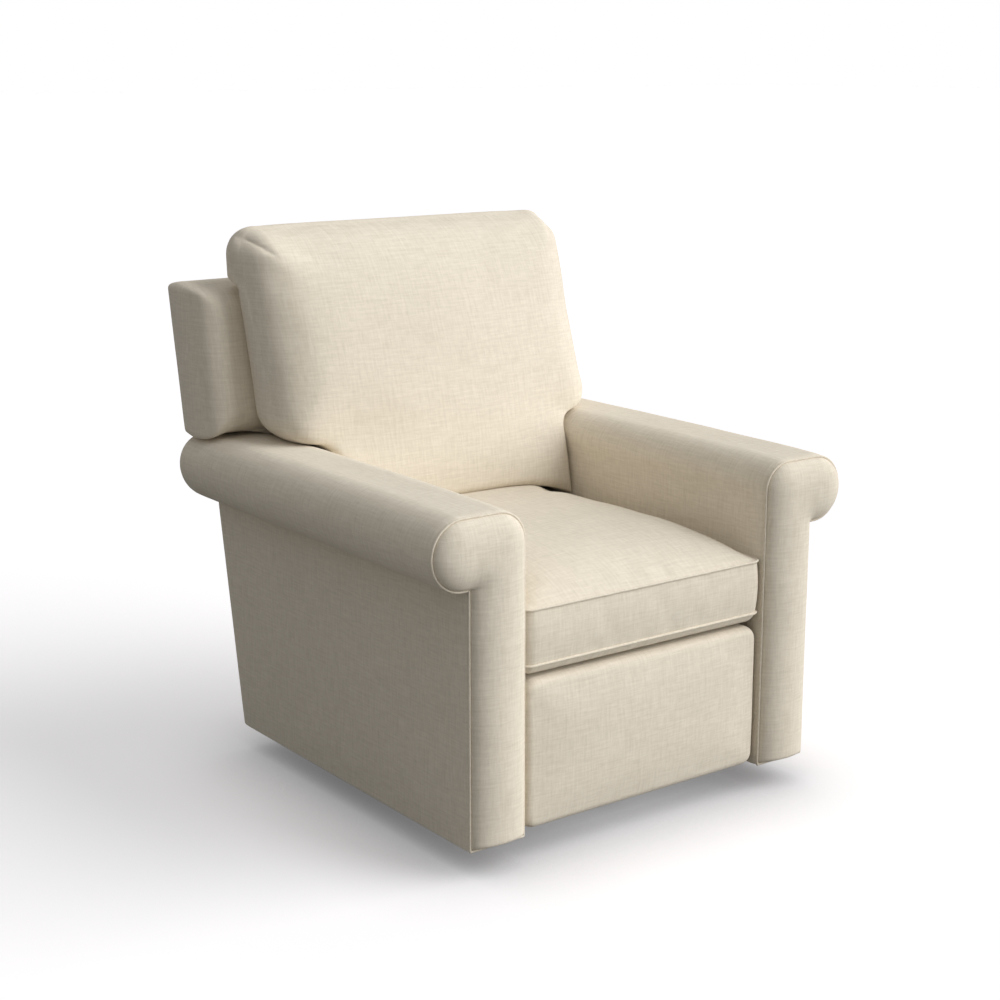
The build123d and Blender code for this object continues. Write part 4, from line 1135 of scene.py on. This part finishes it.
    def build(self, finishes: Finishes) -> None:
        """Makes, dresses and places the arm's three pieces."""
        cover = make_piece(
            f"arm_cover_{self.word}",
            [
                self.shell(),
                self.cap(self.front_inset, 0.01, 0.0, lambda z: np.full_like(z, self.front + 0.0005)),
                self.cap(self.rear_turn, 0.01, 0.0, lambda z: self.plane.at(z) - self.rear_inset),
            ],
        )

        def front_end(z: Array) -> Array:
            """Y of the flat front end."""
            return np.full_like(z, self.front)

        face = make_piece(
            f"arm_face_{self.word}",
            [
                self.cap(self.face_inset, self.face_reach, self.face_rise, front_end),
                self.cap(self.face_inset, 0.01, 0.0, front_end),
            ],
        )
        path = self.outline(self.welt_inset)
        depth = np.full(len(path), self.front - self.welt_inset)
        along = np.column_stack([self.side * path[:, 0], depth, path[:, 1]])
        welt = welt_tube(f"arm_welt_cord_{self.word}", along, (0.0, 1.0, 0.0), self.welt_radius)
        for piece, slot in ((cover, "upholstery_linen"), (face, "upholstery_linen"), (welt, "welt_linen")):
            finishes.dress(piece, slot)
            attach(piece, "carriage")
        for piece in (cover, face):
            finish_soft(piece)
        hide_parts(f"arm_upholstery_{self.word}")
        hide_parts(f"arm_facing_{self.word}")
        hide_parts(f"arm_welt_{self.word}")
        log.info("arm %s built", self.word)


# ---------------------------------------------------------------- seat
@dataclass
class SeatCushion:
    """Boxed seat cushion with a crowned top and a welt along both edges of its boxing."""

    corner: float = 0.020
    bottom_round: float = 0.010
    crown: float = 0.052
    crown_reach: float = 0.062
    side_reach: float = 0.034
    nose_drop: float = 0.010
    nose_start: float = 0.043
    welt_radius: float = 0.0023
    filling: Filling = Filling(pressure=2.4, cap=0.008, slack=0.003, bending=3.0)

    def build(self, finishes: Finishes) -> None:
        """Makes, fills, dresses and places the cushion and its welts."""
        low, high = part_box("seat_cushion")
        edge_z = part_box("seat_welt_upper")[1].z
        half, front, rear = high.x, low.y, high.y
        edge = np.array([(half, front), (half, (front + rear) / 2.0), (half, rear)])
        outline = BlockOutline(edge, self.corner, self.corner)
        rear_rise = high.z - edge_z + 0.003
        deck_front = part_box("deck_pad")[0].y

        def top(across: Array, along: Array, gap: Array) -> Array:
            """Top face.

            Its rise is the crown times (1 - exp(-x / r)) from each side and from the front, and
            less towards the rear, where the back pillow presses on it.
            """
            sides = 1.0 - np.exp(-(half - np.abs(across)) / self.side_reach)
            ahead = 1.0 - np.exp(-(along - front) / self.crown_reach)
            behind = 1.0 - np.exp(-(rear - along) / (0.2 * self.crown_reach))
            settle = 1.0 + 0.03 * unevenness(across, along, 0.6)
            pressed = 1.0 - (1.0 - rear_rise / self.crown) * smooth((along + 0.12) / 0.2)
            return edge_z - 0.002 + self.crown * 1.04 * sides * ahead * behind * settle * pressed

        def bottom(across: Array, along: Array, gap: Array) -> Array:
            """Underside: it drops from the lower welt within 30 mm, and a little more along its front lip."""
            nose = self.nose_drop * smooth((deck_front - self.nose_start - along) / 0.02)
            return low.z + self.bottom_round - (self.bottom_round + nose) * (1.0 - np.exp(-gap / 0.007))

        block = PaddedBlock(
            "seat_cushion_cover",
            outline,
            bottom,
            top,
            0.0,
            0.0,
            facing=Facing.UPWARDS,
            rows=72,
            columns=66,
            band=15,
            band_swell=0.003,
            pin_near=1.0,
            gather=0.0012,
        )
        cover = block.build()
        self.filling.apply(cover)
        finishes.dress(cover, "upholstery_linen")
        finish_soft(cover)
        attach(cover, "carriage")
        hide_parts("seat_cushion")
        for name, node, z in (
            ("seat_welt_cord_upper", "seat_welt_upper", edge_z - 0.002),
            ("seat_welt_cord_lower", "seat_welt_lower", low.z + self.bottom_round),
        ):
            welt = welt_tube(name, self.welt_path(half, front, rear, z), (0.0, 0.0, 1.0), self.welt_radius)
            finishes.dress(welt, "welt_linen")
            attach(welt, "carriage")
            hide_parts(node)
        log.info("seat cushion built")

    def welt_path(self, half: float, front: float, rear: float, z: float) -> Array:
        """A rounded rectangle just outside the cushion, wavering by a fraction of a millimetre."""
        r, out = self.corner, 0.0008
        w, f, b = half + out, front - out, rear + out
        path = np.concatenate(
            [
                run((-w + r, f), (w - r, f), 90),
                arc((w - r, f + r), r, -90.0, 0.0, 8),
                run((w, f + r), (w, b - r), 90),
                arc((w - r, b - r), r, 0.0, 90.0, 8),
                run((w - r, b), (-w + r, b), 90),
                arc((-w + r, b - r), r, 90.0, 180.0, 8),
                run((-w, b - r), (-w, f + r), 90),
                arc((-w + r, f + r), r, 180.0, 270.0, 8),
            ]
        )
        wave = 0.0004 * ripples(path[:, 0] + 2.0 * path[:, 1])
        return np.column_stack([path, z + wave])


@dataclass
class Deck:
    """Platform cloth pad under the cushion."""

    def build(self, finishes: Finishes) -> None:
        """Makes, dresses and places the deck pad."""
        low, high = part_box("deck_pad")
        edge = np.array([(high.x, low.y), (high.x, high.y)])
        block = PaddedBlock(
            "deck_cloth_pad",
            BlockOutline(edge, 0.004, 0.004),
            lambda a, b, g: np.full_like(a, low.z),
            lambda a, b, g: high.z - 0.0012 * (0.5 + 0.5 * unevenness(a, b, 2.0)),
            0.0015,
            0.0025,
            facing=Facing.UPWARDS,
            rows=40,
            columns=40,
            band=4,
        )
        pad = block.build()
        finishes.dress(pad, "deck_cloth")
        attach(pad, "carriage")
        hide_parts("deck_pad")


# ---------------------------------------------------------------- back
@dataclass
class BackPillow:
    """Soft back cushion whose wide upper part sits over the arms and whose foot sits between them."""

    plane: RearPlane
    back_thick: float = 0.134
    front_round: float = 0.052
    foot_round: float = 0.014
    rear_round: float = 0.026
    crown: float = 0.034
    foot_y: float = 0.066
    shoulder: float = 0.030
    top_corner: float = 0.052
    wing_corner: float = 0.048
    armpit: float = 0.034
    side_swell: float = -0.004
    top_swell: float = 0.011
    sink: float = 0.004
    foot_drop: float = 0.030
    crease: float = 0.007
    filling: Filling = Filling(pressure=2.0, cap=0.008, bending=10.0, calm=16)

    def edge(self, low: Vector, high: Vector, shelf: float, foot: float) -> Array:
        """Right edge of the pillow: up the foot, out over the arm, round the corner and up the side."""
        wide = high.x + self.side_swell
        turn, corner = self.armpit, self.wing_corner
        side = np.linspace(0.0, 1.0, 30)[1:]
        rise = shelf + corner + (high.z - shelf - corner) * side
        swell = wide + self.top_swell * smooth(side)
        return np.concatenate(
            [
                run((foot, low.z), (foot, shelf - turn), 20),
                arc((foot + turn, shelf - turn), turn, 180.0, 90.0, 14),
                run((foot + turn, shelf), (wide - corner, shelf + 0.001), 6),
                arc((wide - corner, shelf + corner + 0.001), corner, -90.0, 0.0, 16),
                [(wide, shelf + corner + 0.001)],
                np.stack([swell, rise], -1),
            ]
        )

    def build(self, finishes: Finishes) -> None:
        """Makes, fills, dresses and places the pillow.

        Args:
            finishes: The chair's finishes.
        """
        low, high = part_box("back_cushion")
        low.z -= self.sink
        step_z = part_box("back_upholstery")[1].z
        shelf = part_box("arm_upholstery_right")[1].z + 0.0075
        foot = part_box("seat_cushion")[1].x - 0.001
        outline = BlockOutline(self.edge(low, high, shelf, foot), self.top_corner, 0.004, 6.0, self.foot_drop)
        lean = (0.222 - self.foot_y) / (high.z - self.shoulder - low.z)

        def front(across: Array, up: Array, gap: Array) -> Array:
            """Leaning front face with a crown of (1 - |a|^2)(1 - |b|^2.6) across and up the face."""
            a = np.abs(across) / high.x
            b = np.abs(2.0 * (up - low.z) / (high.z - low.z) - 1.0)
            crown = np.clip(1.0 - a**2, 0.0, 1.0) * np.clip(1.0 - b**2.6, 0.0, 1.0)
            flat = self.foot_y + lean * (up - low.z)
            uneven = 0.0016 * unevenness(across, up, 4.2)
            return flat + 0.014 - self.crown * crown + uneven + creases(across, up)

        def creases(across: Array, up: Array) -> Array:
            """Soft valleys that run up and inwards from where the pillow turns over each arm.

            A valley is crease exp(-(d / w)^2) at a distance d from its line, fading along it.
            """
            total = np.zeros_like(across)
            for angle, width, size in ((28.0, 0.016, 1.0), (62.0, 0.020, 0.55)):
                c, n = math.cos(math.radians(angle)), math.sin(math.radians(angle))
                inward, rise = foot + 0.012 - np.abs(across), up - shelf + 0.010
                along, beside = inward * c + rise * n, rise * c - inward * n
                fade = smooth((along + 0.03) / 0.05) * (1.0 - smooth((along - 0.02) / 0.13))
                spread = width + 0.12 * np.maximum(along, 0.0)
                total += self.crease * size * np.exp(-((beside / spread) ** 2)) * fade
            return total

        def rear(across: Array, up: Array, gap: Array) -> Array:
            """The outer back's front face, then over its top."""
            against = self.plane.at(up) - self.back_thick - 0.001
            over = smooth((up - step_z - 0.002) / 0.012)
            return against + (high.y - 0.002 - against) * over

        def rounding(up: Array) -> Array:
            """Front rounding: small on the foot, large above the arms."""
            return self.foot_round + (self.front_round - self.foot_round) * smooth((up - shelf + 0.03) / 0.09)

        block = PaddedBlock(
            "back_pillow",
            outline,
            front,
            rear,
            rounding,
            self.rear_round,
            rows=82,
            columns=86,
            band=12,
            band_swell=0.004,
            pin_far=1.0,
            pin_seams=0.0,
            soften=14,
        )
        pillow = block.build()
        self.hold_foot(pillow, low.z, shelf, foot)
        self.filling.apply(pillow)
        finishes.dress(pillow, "upholstery_linen")
        finish_soft(pillow)
        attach(pillow, "back")
        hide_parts("back_cushion")
        log.info("back pillow built")

    @staticmethod
    def hold_foot(pillow: bpy.types.Object, bottom: float, shelf: float, foot: float) -> None:
        """Holds the foot's sides and underside, which lie between the arms and over the seat."""
        mesh = pillow.data
        x, _, z = coordinates(mesh).T
        side = smooth((np.abs(x) - foot + 0.022) / 0.016) * (1.0 - smooth((z - shelf) / 0.03))
        under = 1.0 - smooth((z - bottom - 0.002) / 0.016)
        write_pins(mesh, np.maximum(read_pins(mesh), np.maximum(side, under)))


@dataclass
class OuterBack:
    """Boxed outer back: wings over the arms and a narrow part between them."""

    plane: RearPlane
    thick: float = 0.134
    front_round: float = 0.044
    rear_round: float = 0.010
    side_gap: float = 0.003
    roll_gap: float = 0.012
    inner_radius: float = 0.050
    roll_radius: float = 0.0585

    def build(self, finishes: Finishes) -> None:
        """Makes, dresses and places the outer back."""
        low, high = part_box("back_upholstery")
        arm_low, arm_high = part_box("arm_upholstery_right")
        inner, roll_x = arm_low.x, arm_high.x - self.roll_radius
        half = inner - self.side_gap
        reach, outer = self.inner_radius + self.roll_gap, self.roll_radius + self.roll_gap
        centre = (inner + self.inner_radius, arm_high.z - self.inner_radius)
        start = 180.0 - math.degrees(math.acos((centre[0] - half) / reach))
        wing = high.x
        roll_z = arm_high.z - self.roll_radius
        end = math.degrees(math.acos((wing - roll_x) / outer))
        edge = np.concatenate(
            [
                run((half, low.z), (half, centre[1] + reach * math.sin(math.radians(start))), 20),
                arc(centre, reach, start, 90.0, 12),
                run((centre[0], arm_high.z + self.roll_gap), (roll_x, arm_high.z + self.roll_gap), 8),
                arc((roll_x, roll_z), outer, 90.0, end, 8),
                [(wing, roll_z + outer * math.sin(math.radians(end)) + 0.004), (wing, high.z)],
            ]
        )
        outline = BlockOutline(edge, 0.010, 0.006, bend=5.0)

        def front(across: Array, up: Array, gap: Array) -> Array:
            """Front face of the wings."""
            return self.plane.at(up) - self.thick - 0.002 * smooth(gap / 0.05)

        def rear(across: Array, up: Array, gap: Array) -> Array:
            """Rear face, drawn tight with a slight crown."""
            return self.plane.at(up) + 0.0025 * smooth(gap / 0.12) + 0.0006 * unevenness(across, up)

        block = PaddedBlock(
            "outer_back_cover",
            outline,
            front,
            rear,
            self.front_round,
            self.rear_round,
            rows=110,
            columns=90,
            band=12,
            band_swell=0.006,
            soften=4,
        )
        cover = block.build()
        finishes.dress(cover, "upholstery_linen")
        finish_soft(cover)
        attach(cover, "back")
        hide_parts("back_upholstery")
        log.info("outer back built")


@dataclass
class RearPanel:
    """Covered panel that closes the body below the outer back."""

    plane: RearPlane
    thick: float = 0.015

    def build(self, finishes: Finishes) -> None:
        """Makes, dresses and places the panel."""
        low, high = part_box("rear_panel")
        edge = np.array([(high.x, low.z), (high.x, high.z)])
        block = PaddedBlock(
            "rear_panel_cover",
            BlockOutline(edge, 0.004, 0.004),
            lambda a, b, g: self.plane.at(b) - self.thick,
            lambda a, b, g: self.plane.at(b) + 0.002 * smooth(g / 0.06) + 0.0004 * unevenness(a, b, 1.1),
            0.002,
            0.006,
            rows=50,
            columns=70,
            band=6,
        )
        cover = block.build()
        finishes.dress(cover, "upholstery_linen")
        finish_soft(cover)
        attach(cover, "carriage")
        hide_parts("rear_panel")
        log.info("rear panel built")


@dataclass
class Footrest:
    """Padded front panel that swings up as the footrest."""

    corner: float = 0.023
    front_round: float = 0.014
    crown: float = 0.009
    filling: Filling = Filling(pressure=1.2, cap=0.005, bending=10.0, calm=16)

    def build(self, finishes: Finishes) -> None:
        """Makes, fills, dresses and places the panel."""
        low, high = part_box("footrest_pad")
        edge = np.array([(high.x, low.z), (high.x, high.z)])

        def front(across: Array, up: Array, gap: Array) -> Array:
            """Front face with a crown of (1 - |a|^3)(1 - |b|^3) across and up the face."""
            a = np.abs(across) / high.x
            b = np.abs(2.0 * (up - low.z) / (high.z - low.z) - 1.0)
            uneven = 0.0006 * unevenness(across, up, 3.0)
            return low.y + 0.001 - self.crown * (1.0 - a**3) * (1.0 - b**3) + uneven

        block = PaddedBlock(
            "footrest_cover",
            BlockOutline(edge, self.corner, self.corner),
            front,
            lambda a, b, g: np.full_like(a, high.y),
            self.front_round,
            0.002,
            rows=50,
            columns=76,
            band=10,
            pin_far=1.0,
            pin_seams=0.0,
        )
        cover = block.build()
        self.hold_sides(cover, low.y + self.front_round)
        self.filling.apply(cover)
        finishes.dress(cover, "upholstery_linen")
        finish_soft(cover)
        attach(cover, "footrest")
        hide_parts("footrest_pad")
        log.info("footrest built")

    @staticmethod
    def hold_sides(cover: bpy.types.Object, depth: float) -> None:
        """Holds everything behind the rounded front edge, so the sides stay clear of the arms."""
        mesh = cover.data
        y = coordinates(mesh)[:, 1]
        write_pins(mesh, smooth((y - depth + 0.012) / 0.01))


@dataclass
class JointCloth:
    """A sheet of cloth that closes the opening between the seat body and the back as it reclines."""

    name: str
    slot: str
    half: float
    start: tuple[float, float]
    end: tuple[float, float]
    bow: float
    thick: float = 0.0012

    def build(self, finishes: Finishes) -> None:
        """Makes, dresses and places the sheet.

        Its profile is a straight line from start to end, bowed by a half sine, and slightly
        fuller between its side edges.
        """
        t = np.linspace(0.0, 1.0, 26)[:, None]
        x = np.linspace(-self.half, self.half, 60)[None]
        start, end = np.array(self.start), np.array(self.end)
        length = float(np.linalg.norm(end - start))
        along = (end - start) / length
        full = self.bow * (1.0 + 0.25 * unevenness(x, t * length, 5.0))
        out = full * np.sin(np.pi * t)
        y = start[0] + (end - start)[0] * t - along[1] * out
        z = start[1] + (end - start)[1] * t + along[0] * out
        x = np.broadcast_to(x, y.shape)
        cloth = np.stack(np.broadcast_arrays(x, t * length), -1)
        piece = make_piece(self.name, [Patch(np.stack([x, y, z], -1), cloth)], closed=False)
        wall = piece.modifiers.new("Solidify", "SOLIDIFY")
        wall.thickness = self.thick
        wall.offset = 0.0
        finishes.dress(piece, self.slot)
        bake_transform(piece)
        log.info("%s built", self.name)


# ---------------------------------------------------------------- studio
@dataclass
class Studio:
    """Floor, light and camera."""

    camera_at: tuple[float, float, float] = (-1.9606, -2.6656, 1.2747)
    look_at: tuple[float, float, float] = (-0.0225, -0.0535, 0.498)
    lens: float = 66.99
    light_from: tuple[float, float, float] = (0.67, -0.56, 0.42)
    light_strength: float = 0.97
    light_angle: float = 58.0
    sky: float = 0.285
    overhead: float = 0.26
    floor_half: float = 60.0
    floor_shadow_reach: float = 0.22
    floor_glow: float = 0.36

    def build(self) -> None:
        """Makes the studio."""
        self.build_floor()
        self.build_lights()
        self.build_camera()
        view = bpy.context.scene.view_settings
        view.view_transform = "Standard"
        view.look = "None"

    def build_floor(self) -> None:
        """A wide pale floor that throws less light back than it shows, with a painted shadow: ambient
        occlusion darkens its colour and its glow near and under the chair.
        """
        mesh = bpy.data.meshes.new("studio_floor")
        r = self.floor_half
        mesh.from_pydata([(-r, -r, 0.0), (r, -r, 0.0), (r, r, 0.0), (-r, r, 0.0)], [], [(0, 1, 2, 3)])
        floor = bpy.data.objects.new("studio_floor", mesh)
        bpy.context.scene.collection.objects.link(floor)
        material, wire, shader = start_material("floor_white")
        nodes = material.node_tree.nodes
        output = next(n for n in nodes if n.type == "OUTPUT_MATERIAL")
        nodes.remove(shader)
        # Painted shadow: ambient occlusion darkens the floor's colour and glow near and under the chair, as a
        # contact shadow.
        floor_occlusion = wire.add("ShaderNodeAmbientOcclusion", samples=8)
        floor_occlusion.inputs["Distance"].default_value = self.floor_shadow_reach
        shade = wire.remap(floor_occlusion.outputs["AO"], 0.15, 0.95, 0.40, 1.0)
        seen = wire.add("ShaderNodeBsdfDiffuse")
        wire.feed(seen.inputs[0], wire.scale_colour((0.80, 0.79, 0.80), shade))
        glow = wire.add("ShaderNodeEmission")
        wire.feed(glow.inputs[0], wire.scale_colour((1.0, 0.99, 1.0), shade))
        glow.inputs[1].default_value = self.floor_glow
        both = wire.add("ShaderNodeAddShader")
        wire.feed(both.inputs[0], seen.outputs[0])
        wire.feed(both.inputs[1], glow.outputs[0])
        bounced = wire.add("ShaderNodeBsdfDiffuse")
        bounced.inputs[0].default_value = (0.25, 0.245, 0.235, 1.0)
        mix = wire.add("ShaderNodeMixShader")
        wire.feed(mix.inputs[0], wire.add("ShaderNodeLightPath").outputs["Is Camera Ray"])
        wire.feed(mix.inputs[1], bounced.outputs[0])
        wire.feed(mix.inputs[2], both.outputs[0])
        wire.feed(output.inputs[0], mix.outputs[0])
        mesh.materials.append(material)

    def build_lights(self) -> None:
        """One broad soft key, and a sky that is brighter overhead and shows as plain white."""
        key = bpy.data.lights.new("key", "SUN")
        key.energy = math.pi * self.light_strength
        key.angle = math.radians(self.light_angle)
        lamp = bpy.data.objects.new("key", key)
        lamp.rotation_euler = Vector(self.light_from).to_track_quat("Z", "Y").to_euler()
        bpy.context.scene.collection.objects.link(lamp)
        world = bpy.data.worlds.new("studio_sky")
        world.use_nodes = True
        bpy.context.scene.world = world
        wire = Wiring(world.node_tree)
        back = next(n for n in world.node_tree.nodes if n.type == "BACKGROUND")
        back.inputs[0].default_value = (1.0, 1.0, 1.0, 1.0)
        seen = wire.add("ShaderNodeLightPath").outputs["Is Camera Ray"]
        height = wire.parts(wire.add("ShaderNodeTexCoord").outputs["Generated"])[2]
        above = wire.math("MAXIMUM", height, 0.0)
        raised = wire.times(wire.math("POWER", above, 2.0), self.overhead)
        wire.feed(back.inputs[1], wire.remap(seen, 0.0, 1.0, wire.plus(raised, self.sky), 1.0))

    def build_camera(self) -> None:
        """The camera, without shift or depth of field."""
        data = bpy.data.cameras.new("camera")
        data.lens = self.lens
        data.sensor_width = 36.0
        camera = bpy.data.objects.new("camera", data)
        camera.location = self.camera_at
        direction = Vector(self.look_at) - Vector(self.camera_at)
        camera.rotation_euler = direction.to_track_quat("-Z", "Y").to_euler()
        bpy.context.scene.collection.objects.link(camera)
        bpy.context.scene.camera = camera


def main() -> None:
    """Builds the chair's pieces in order, then the studio."""
    logging.basicConfig(level=logging.INFO, format="%(message)s")
    _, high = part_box("back_upholstery")
    plane = RearPlane(top=high.z, rear=high.y)
    finishes = Finishes()
    finishes.build(Groups())
    finishes.dress_hardware()
    RolledArm("left", -1.0, plane).build(finishes)
    RolledArm("right", 1.0, plane).build(finishes)
    SeatCushion().build(finishes)
    Deck().build(finishes)
    BackPillow(plane).build(finishes)
    OuterBack(plane).build(finishes)
    RearPanel(plane).build(finishes)
    Footrest().build(finishes)
    _, deck_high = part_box("deck_pad")
    seat_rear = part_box("seat_cushion")[1].y
    pillow_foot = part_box("back_cushion")[0].z
    JointCloth(
        "pull_down_cloth",
        "upholstery_linen",
        deck_high.x,
        (deck_high.y - 0.012, deck_high.z + 0.006),
        (seat_rear + 0.020, pillow_foot + 0.008),
        0.006,
    ).build(finishes)
    panel_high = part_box("rear_panel")[1].z
    inside = plane.at(panel_high) - 0.0185
    JointCloth(
        "dust_cloth",
        "deck_cloth",
        deck_high.x + 0.022,
        (inside - 0.003, panel_high - 0.016),
        (inside + 0.005, panel_high + 0.034),
        0.0,
    ).build(finishes)
    Studio().build()


if __name__ == "__main__":
    main()
